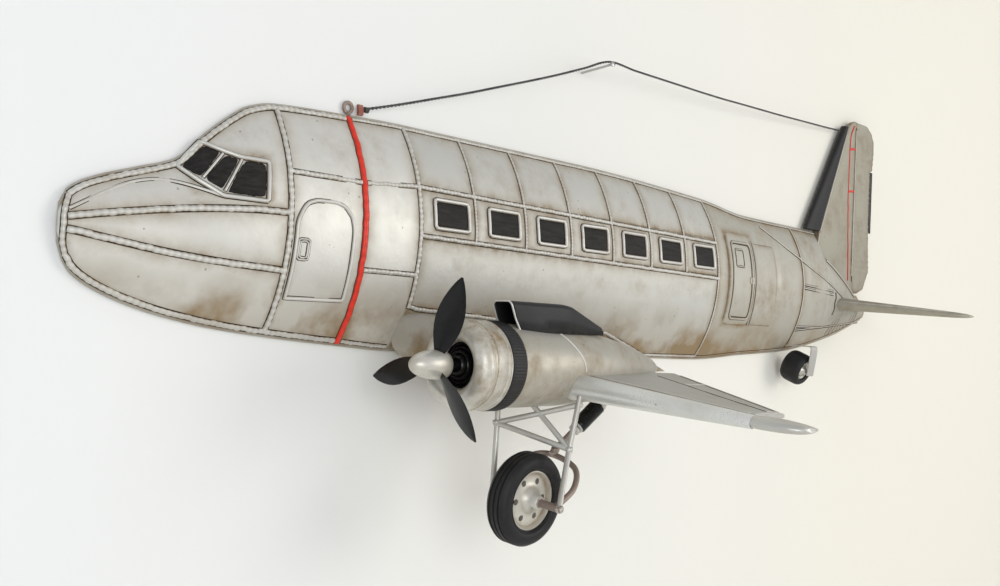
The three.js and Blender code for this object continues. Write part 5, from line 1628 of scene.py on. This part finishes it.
disc_clay = turned(Clay(), disc_profile, wheel_centre, axle_line, 72, worn=disc_stain)
disc = piece("wheel_dish", disc_clay, "bright_metal", "wheel_disc", "main_wheel", crease=35)
hole_count, hole_ring = 6, 18.2
punched(disc, hole_count, hole_ring, 2.9, axle_line, wheel_centre)


def hole_shade_discs(clay, count, out, radius, level_out, axis, centre):
    """Dark discs of painted shade a little way down the punched holes."""
    u = axis.orthogonal().normalized()
    v = axis.cross(u)
    for k in range(count):
        a = 2 * math.pi * (k + 0.3) / count
        middle = centre + ((u * math.cos(a) + v * math.sin(a)) * out + axis * level_out) * MM
        tube(clay, [middle - axis * 0.6 * MM, middle + axis * 0.6 * MM], radius, 20)


# Painted shade at the bottom of the wheel's holes.
hole_shade_clay = Clay()
hole_shade_discs(hole_shade_clay, hole_count, hole_ring, 3.0, 0.5, axle_line, wheel_centre)
piece("wheel_hole_shade_discs", hole_shade_clay, "shade_paint", body="main_wheel")

tread = [(-9.4, disc_radius + 0.3), (-11.6, 31), (-12, 34), (-11.4, 37.6), (-9.6, 40.4), (-7.2, 41.7)]
for groove in (-5.4, 0, 5.4):
    tread += [(groove - 1.1, 42.3), (groove - 0.7, 41.2), (groove + 0.7, 41.2), (groove + 1.1, 42.3)]
    tread += [(groove + 2.7, 42.4 - 0.1 * abs(groove))] if groove < 5 else []
tread += [(7.2, 41.7), (9.6, 40.4), (11.4, 37.6), (12, 34), (11.7, 31.4), (11.2, 30.2), (11.6, 29.4),
          (10.6, 28), (9.2, disc_radius + 0.3), (-9.4, disc_radius + 0.3)]
piece("main_tyre", turned(Clay(), tread, wheel_centre, axle_line, 96), "tyre_rubber", "tyre", "main_wheel",
      crease=38)
print("wheel", round(2 * wheel_radius), "mm across")


# %% [markdown]
# ## Fin, rudder and boot
# The fin and the rudder are flat boxes of thin sheet between two slanting edges. The rudder carries the
# ridges of a cloth-covered one, and a black tab is let into its edge. The fin's leading edge wears a black
# rubber boot, and thin red lines are painted along the hinge.

# %% Fin
def standing_panel(name, left, right, low, high, out, thickness, slot, stands_for, ridge=None):
    """An upright box between two edge lines, a little swollen, with rounded edges."""
    count = round((high - low) / 2.2)
    rows, seams = [], []
    columns = 16
    for j in range(count + 1):
        z = low + (high - low) * j / count
        row = []
        for i in range(columns + 1):
            t = i / columns
            x = left(z) + (right(z) - left(z)) * t
            swell = 0.7 * (math.sin(math.pi * t) * math.sin(math.pi * j / count)) ** 0.5 if 0 < t < 1 else 0
            row.append(at(x, out + swell - 0.4 + (ridge(x, z) if ridge else 0.25 * dents(x * 1.6, z * 1.6)),
                          z))
            seams.append(max(nearness((x - left(z)), 5.0), nearness(right(z) - x, 4.0),
                             nearness(z - low, 6.0)))
        rows.append(row)
    clay = Clay().weave([list(r) for r in zip(*rows)], seam=[s for column in zip(
        *[seams[k * (columns + 1):(k + 1) * (columns + 1)] for k in range(count + 1)]) for s in column])
    return piece(name, clay, slot, stands_for, thickness=thickness, bevel=0.7, outward=False, crease=50)


fin_top = 269
fin_left = linear([(-0.4, hinge + 7.6), (52.8, fin_corner + 0.6), (84, fin_corner + 8.6), (257, hinge - 29),
                   (266, hinge - 14), (fin_top, hinge - 8)])
fin_right = linear([(-0.4, hinge + 8), (27, hinge), (fin_top, hinge)])
standing_panel("fin_box", fin_left, fin_right, -0.4, fin_top, 12, 7.6, "tail_shaded_stained_silver", "fin")

rudder_left = linear([(2, hinge + 8.4), (27, hinge + 0.5), (fin_top, hinge + 0.5)])
rudder_right = linear([(2, 1312), (10, 1334), (39.5, 1352), (99.5, 1347), (199, 1347), (199.6, 1354),
                       (229, 1358), (247, 1357), (261, 1346), (fin_top, 1328)])
rib_spacing = 9.2


def cloth_rib(x, z):
    across = (x - hinge) / 60
    return 0.75 * max(0.0, math.cos(2 * math.pi * z / rib_spacing)) ** 6 + 0.3 * math.sin(math.pi * across) \
        + 0.25 * dents(x * 2, z * 2)


standing_panel("rudder_box", rudder_left, rudder_right, 2, fin_top, 10.6, 5.6, "tail_shaded_stained_silver", "rudder",
               cloth_rib)
tab_clay = Clay()
tab_low, tab_high, tab_out = 100.5, 198.0, 10.6
tab_clay.weave([[at(1347.6 + 8 * k / 4, tab_out + 0.7 * math.sin(math.pi * k / 4),
                    tab_low + (tab_high - tab_low) * j / 12) for j in range(13)] for k in range(5)])
piece("rudder_tab_plate", tab_clay, "gloss_black", "rudder_tab", thickness=5.0, bevel=0.6, outward=False)

fin_wires = Clay()


def on_fin(x, z, lift=0.0):
    return at(x, 12.6 + lift, z), Vector((0, -1, 0))


bead(fin_wires, [(fin_left(z) + 1.2, z) for z in (0, 25, 52.8, 70, 84)], 1.8, 0.9, lumpy=0.0, surface=on_fin)
bead(fin_wires, [(fin_left(z) + 1.2, z) for z in range(88, 256, 12)], 1.8, 0.9, lumpy=0.0, surface=on_fin)
bead(fin_wires, [(hinge - 1.2, z) for z in range(28, 268, 12)], 1.6, 0.9, lumpy=0.0, surface=on_fin)
piece("fin_wires", fin_wires, "silver_paint")
hinge_line = Clay()
bead(hinge_line, [(hinge + 0.4, z) for z in range(20, 268, 12)], 1.3, 0.7, lumpy=0.0, surface=on_fin,
     lift=-0.7)
piece("hinge_shadow", hinge_line, "shade_paint")
red_lines = Clay()
lines = [[(hinge - 8, 262), (hinge - 19, 246), (hinge - 21, 225), (hinge - 22, 150), (hinge - 13, 20)],
         [(hinge - 21, 224), (hinge - 3, 226)], [(hinge - 20, 158), (hinge - 3, 160)]]
for run, width in zip(lines, (1.8, 3.2, 3.2)):
    bead(red_lines, wobbled(resampled(run, 8), 1.0), width, 0.35, lumpy=0.0, surface=on_fin, lift=0.15)
piece("fin_red_lines", red_lines, "red_enamel")

boot_low, boot_high, boot_rear_low, boot_rear_high = 87.6, 257, 1175.2, 1259.6
boot_rows = []
for k in range(41):
    t = k / 40
    front, rear = 1135.5 + 113.5 * t, boot_rear_low - 0.3 + (boot_rear_high - boot_rear_low) * t
    z = boot_low + (boot_high - boot_low) * t
    reach = 0.62 * (rear - front)
    row = [at(rear, 3.3, z), at(rear, 13.8, z)]
    for j in range(13):
        a = math.pi / 2 - math.pi * j / 12
        row.append(at(front + reach - reach * math.cos(a), 8.5 + 5.4 * math.sin(a), z))
    boot_rows.append(row)
piece("fin_boot_rubber", Clay().weave(boot_rows, ring=True, caps=True), "satin_grey", "fin_boot", bevel=0.5)
print("fin stands", fin_top, "mm high")


# %% [markdown]
# ## Tailplane
# The tailplane sticks straight out through a slot in the cone. It is lofted like the wing, with a round nose
# and a thin tail, and a thin wire along its hinge. A dark strip of painted shade marks the slot round its
# root.

# %% Tailplane
def tail_line(out):
    return -18 - 0.07 * (out - 20)


tail_front = linear([(8, 1209), (181, 1262), (195, 1268), (201, 1276)])
tail_back = linear([(8, 1333), (181, 1301), (195, 1298), (201, 1291)])
tail_thick = linear([(8, 22), (181, 9), (195, 6.5), (201, 4)])


def foil_row(front, back_edge, out, height, thick):
    """A soft section: round at the front and thin at the back."""
    row = []
    for k in range(24):
        a = 2 * math.pi * k / 24
        along = 0.5 - 0.5 * math.cos(a)
        body = thick / 2 * min(1.0, 2.6 * math.sqrt(along)) * (1 - 0.78 * along)
        row.append(at(front + (back_edge - front) * along, out,
                      height + math.copysign(body + 0.25, math.sin(a))))
    return row


tail_rows = [foil_row(tail_front(o), tail_back(o), o, tail_line(o), tail_thick(o))
             for o in [8 + 187 * k / 40 for k in range(41)] + [197, 199, 200.3, 200.9]]
piece("tailplane_box", Clay().weave(tail_rows, ring=True, caps=True), "tail_shaded_stained_silver", "tailplane", crease=60)


def on_tailplane(x, out, lift=0.0):
    front, back_edge = tail_front(out), tail_back(out)
    along = min(max((x - front) / (back_edge - front), 0.02), 1)
    body = tail_thick(out) / 2 * min(1.0, 2.6 * math.sqrt(along)) * (1 - 0.78 * along) + 0.25
    return at(x, out, tail_line(out) + body + lift), Vector((0, 0, 1))


tail_wires = Clay()
tail_marks = (30, 90, 150, 194)
bead(tail_wires, [(tail_front(o) + 0.62 * (tail_back(o) - tail_front(o)), o) for o in tail_marks],
     1.6, 0.8, lumpy=0.0, surface=on_tailplane)
bead(tail_wires, [(tail_front(o) + 2.5, o) for o in tail_marks], 1.4, 0.7, lumpy=0.0,
     surface=on_tailplane)
piece("tailplane_wires", tail_wires, "window_trim")
# Painted shade: a dark strip where the slot round the tailplane's root lies in shade.
slot_shade_clay = Clay()
bead(slot_shade_clay, [(1205, -2), (1209, -10), (1206, -18), (1210, -26), (1206, -36)], 3.4, 0.9, lumpy=0.0)
piece("tailplane_slot_shade", slot_shade_clay, "shade_paint")
print("tailplane", round(tail_back(8) - tail_front(8)), "mm deep at its root")

# %% [markdown]
# ## Tail wheel
# A fat little wheel leans out under the tail, held by a bent strip. The tyre is plain, and the hub has a
# ring of holes like its big brother.

# %% Tail wheel
tail_lean = 22
tail_cant = math.radians(tail_lean)
tail_station, tail_height, tail_tyre_radius = 1092, -0.86 * half - 24.5, 22.5
tail_centre = at(tail_station, 28, tail_height)
tail_axis = Vector((0, -math.cos(tail_cant), -math.sin(tail_cant)))
tail_tread = [(-12, 13.3), (-14.2, 15), (-14.8, 17), (-14, 19.4), (-12, 21.2), (-9, 22.2), (-5, 22.5),
              (5, 22.5), (9, 22.2), (12, 21.2), (14, 19.4), (14.8, 17), (14.2, 15), (12, 13.3), (-12, 13.3)]
piece("tail_wheel_tyre", turned(Clay(), tail_tread, tail_centre, tail_axis, 64), "tyre_rubber", "tail_tyre",
      "tail_wheel")
hub_profile = [(-11, 2.3), (-11, 13), (11, 13), (11.4, 12.2), (10.2, 11.2), (10, 10), (10.6, 7), (13, 5),
               (15.6, 4.2), (16, 3.6), (16, 2.3), (-11, 2.3)]
tail_hub = piece("tail_wheel_hub", turned(Clay(), hub_profile, tail_centre, tail_axis, 56), "bright_metal",
                 "tail_hub", "tail_wheel", crease=35)
punched(tail_hub, hole_count, 8.6, 1.5, tail_axis, tail_centre)


def strip(clay, path, width, thickness):
    """A flat strip bent along a path that lies square to the body's length."""
    rows = []
    for i, point in enumerate(path):
        along = (path[min(i + 1, len(path) - 1)] - path[max(i - 1, 0)]).normalized()
        out = Vector((1, 0, 0)).cross(along).normalized() * thickness / 2 * MM
        across = Vector((width / 2 * MM, 0, 0))
        rows.append([point + across + out, point - across + out, point - across - out, point + across - out])
    clay.weave(rows, ring=True, caps=True)


roof = tail_height + tail_tyre_radius + 8
bracket_clay = Clay()
bend = [at(tail_station, out, z) for out, z in (
    (14, roof), (30, roof), (50, roof - 0.4), (53.6, roof - 3), (53, roof - 12), (49, -122), (48.2, -125.6))]
strip(bracket_clay, smooth_line(bend, 6), 18, 1.6)
piece("tail_wheel_strip", bracket_clay, "plain_silver", "tail_bracket", bevel=0.3)
pin_clay = Clay()
tube(pin_clay, [tail_centre + tail_axis * d * MM for d in (-17, 0, 20.6, 21)], [2.0, 2.0, 2.0, 1.4], 16)
piece("tail_wheel_pin", pin_clay, "aged_brown")
print("tail wheel leans", tail_lean, "degrees")

# %% [markdown]
# ## Eye, tab and nail
# A washer soldered over the nose is a spare hanging eye. The wire is tied to a red-brown tab and rests on
# one steel nail with a flat head.

# %% Hanging pieces
eye_centre = at(271, 1.5, top_edge(271) + hem_overhang + 6.7)
eye_profile = [(-0.9, 3.2), (-1.0, 3.5), (-1.0, 6.0), (-0.7, 6.3), (0.7, 6.3), (1.0, 6.0), (1.0, 3.5),
               (0.9, 3.2), (-0.9, 3.2)]
eye_clay = turned(Clay(), eye_profile, eye_centre, (0, -1, 0), 40)
solder_lump(eye_clay, at(271, 2.2, top_edge(271) + 3.6), 2.6, 81.0)
piece("washer_eye", eye_clay, "aged_brown", "hanging_eye")
tab_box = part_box("wire_tab")
tab_rows = []
for k in range(6):
    z = tab_box[0].z + (tab_box[1].z - tab_box[0].z) * k / 5
    lean = 0.5 * MM * math.sin(k)
    tab_rows.append([Vector((tab_box[0].x + lean, tab_box[0].y, z)),
                     Vector((tab_box[1].x + lean, tab_box[0].y, z)),
                     Vector((tab_box[1].x + lean, tab_box[1].y, z)),
                     Vector((tab_box[0].x + lean, tab_box[1].y, z))])
piece("wire_tab_plate", Clay().weave(tab_rows, ring=True, caps=True), "red_primer", "wire_tab", bevel=0.5)
tie_clay = Clay()
tie = []
for k in range(73):
    a = 2 * math.pi * k / 24
    tie.append(at(286.6 + k * 0.06, 6, 113) + Vector((0, math.cos(a), math.sin(a))) * 2.1 * MM)
tube(tie_clay, tie, 0.7, 8)
piece("wire_tie", tie_clay, "black_wire")
nail_axis = Vector((0, -1, 0.11)).normalized()
nail_proud = 44
nail_profile = [(0, 0), (0, 1.4), (41.4, 1.4), (41.8, 1.7), (42.4, 3.0), (42.8, 3.2), (43.6, 3.2),
                (nail_proud, 2.6), (nail_proud, 0)]
nail_clay = turned(Clay(), nail_profile, at(nail_station, 0, 213), nail_axis, 28)
piece("nail", nail_clay, "nail_steel", "wall_nail", crease=35)
print("nail", nail_proud, "mm proud of the wall")

# %% [markdown]
# ## Wall, floor and light
# The relief hangs on a plain pale wall above a plain pale floor. Both are seen only from their front: from
# behind they clear away, so that the back of the relief can be looked at. Two large soft lights stand in
# front, a cool one to the left and a warm one to the right. A weak one lights the back, and the room itself
# gives the rest.

# %% Wall, floor and light
def backdrop(name, corners, cool, warm, low, high):
    """A big plain sheet that is clear when it is seen from behind."""
    mesh = bpy.data.meshes.new(name)
    mesh.from_pydata(corners, [], [(0, 1, 2, 3)])
    sheet = bpy.data.objects.new(name, mesh)
    bpy.context.scene.collection.objects.link(sheet)
    material = bpy.data.materials.new(name)
    material.use_nodes = True
    tree = material.node_tree
    shader = tree.nodes["Principled BSDF"]
    place = node(tree, "ShaderNodeNewGeometry")
    x = node(tree, "ShaderNodeSeparateXYZ", {0: place.outputs["Position"]}).outputs["X"]
    drift = cloud(tree, place.outputs["Position"], 1.3, 2.0)
    # The sheet's colour drifts from the cool tint to the warm one across its width: on the wall this is
    # painted light, for the light's tint and fall-off.
    share = maths(tree, "ADD", spread(tree, x, low, high), maths(tree, "MULTIPLY", drift, 0.25))
    tree.links.new(blend(tree, share, cool, warm), shader.inputs["Base Color"])
    shader.inputs["Roughness"].default_value = 0.9
    plaster = cloud(tree, place.outputs["Position"], 240.0, 3.0)
    normal = node(tree, "ShaderNodeBump",
                  {"Height": plaster, "Strength": 0.08, "Distance": 0.0008}).outputs[0]
    tree.links.new(normal, shader.inputs["Normal"])
    clear = node(tree, "ShaderNodeBsdfTransparent").outputs[0]
    both = node(tree, "ShaderNodeMixShader", {0: place.outputs["Backfacing"], 1: shader.outputs[0], 2: clear})
    tree.links.new(both.outputs[0], tree.nodes["Material Output"].inputs["Surface"])
    mesh.materials.append(material)
    sheet.visible_shadow = False
    return sheet


wall_reach, floor_drop = 6.0, -1.3
# Painted light: the wall is tinted cool on the left and warmer and a little darker on the right.
backdrop("pale_wall", [(-wall_reach, 0.0012, floor_drop), (wall_reach, 0.0012, floor_drop),
                       (wall_reach, 0.0012, 4), (-wall_reach, 0.0012, 4)],
         colour(0.775, 0.785, 0.785), colour(0.80, 0.775, 0.69), -0.7, 0.9)
backdrop("pale_floor", [(-wall_reach, -wall_reach, floor_drop), (wall_reach, -wall_reach, floor_drop),
                        (wall_reach, 0.0012, floor_drop), (-wall_reach, 0.0012, floor_drop)],
         colour(0.84, 0.84, 0.83), colour(0.86, 0.85, 0.82), -2.0, 2.0)


def soft_light(name, place, target, size, power, tint):
    data = bpy.data.lights.new(name, "AREA")
    data.shape = "DISK"
    data.size = size
    data.energy = power
    data.color = tint
    lamp = bpy.data.objects.new(name, data)
    lamp.location = place
    lamp.rotation_euler = (Vector(target) - Vector(place)).to_track_quat("-Z", "Y").to_euler()
    bpy.context.scene.collection.objects.link(lamp)
    return lamp


soft_light("window_light", (-1.8, -2.8, 0.1), (-0.2, 0, 0), 1.8, 38, (0.95, 0.98, 1.0))
soft_light("lamp_light", (1.9, -2.5, 0.45), (0, 0, 0), 1.8, 32, (1.0, 0.965, 0.91))
soft_light("back_light", (0.3, 1.6, 0.9), (0, 0, 0), 2.0, 7, (1.0, 1.0, 1.0))
world = bpy.data.worlds.new("room")
world.use_nodes = True
world.node_tree.nodes["Background"].inputs["Color"].default_value = (0.93, 0.95, 1.0, 1.0)
world.node_tree.nodes["Background"].inputs["Strength"].default_value = 0.60
bpy.context.scene.world = world
bpy.context.scene.view_settings.view_transform = "Standard"
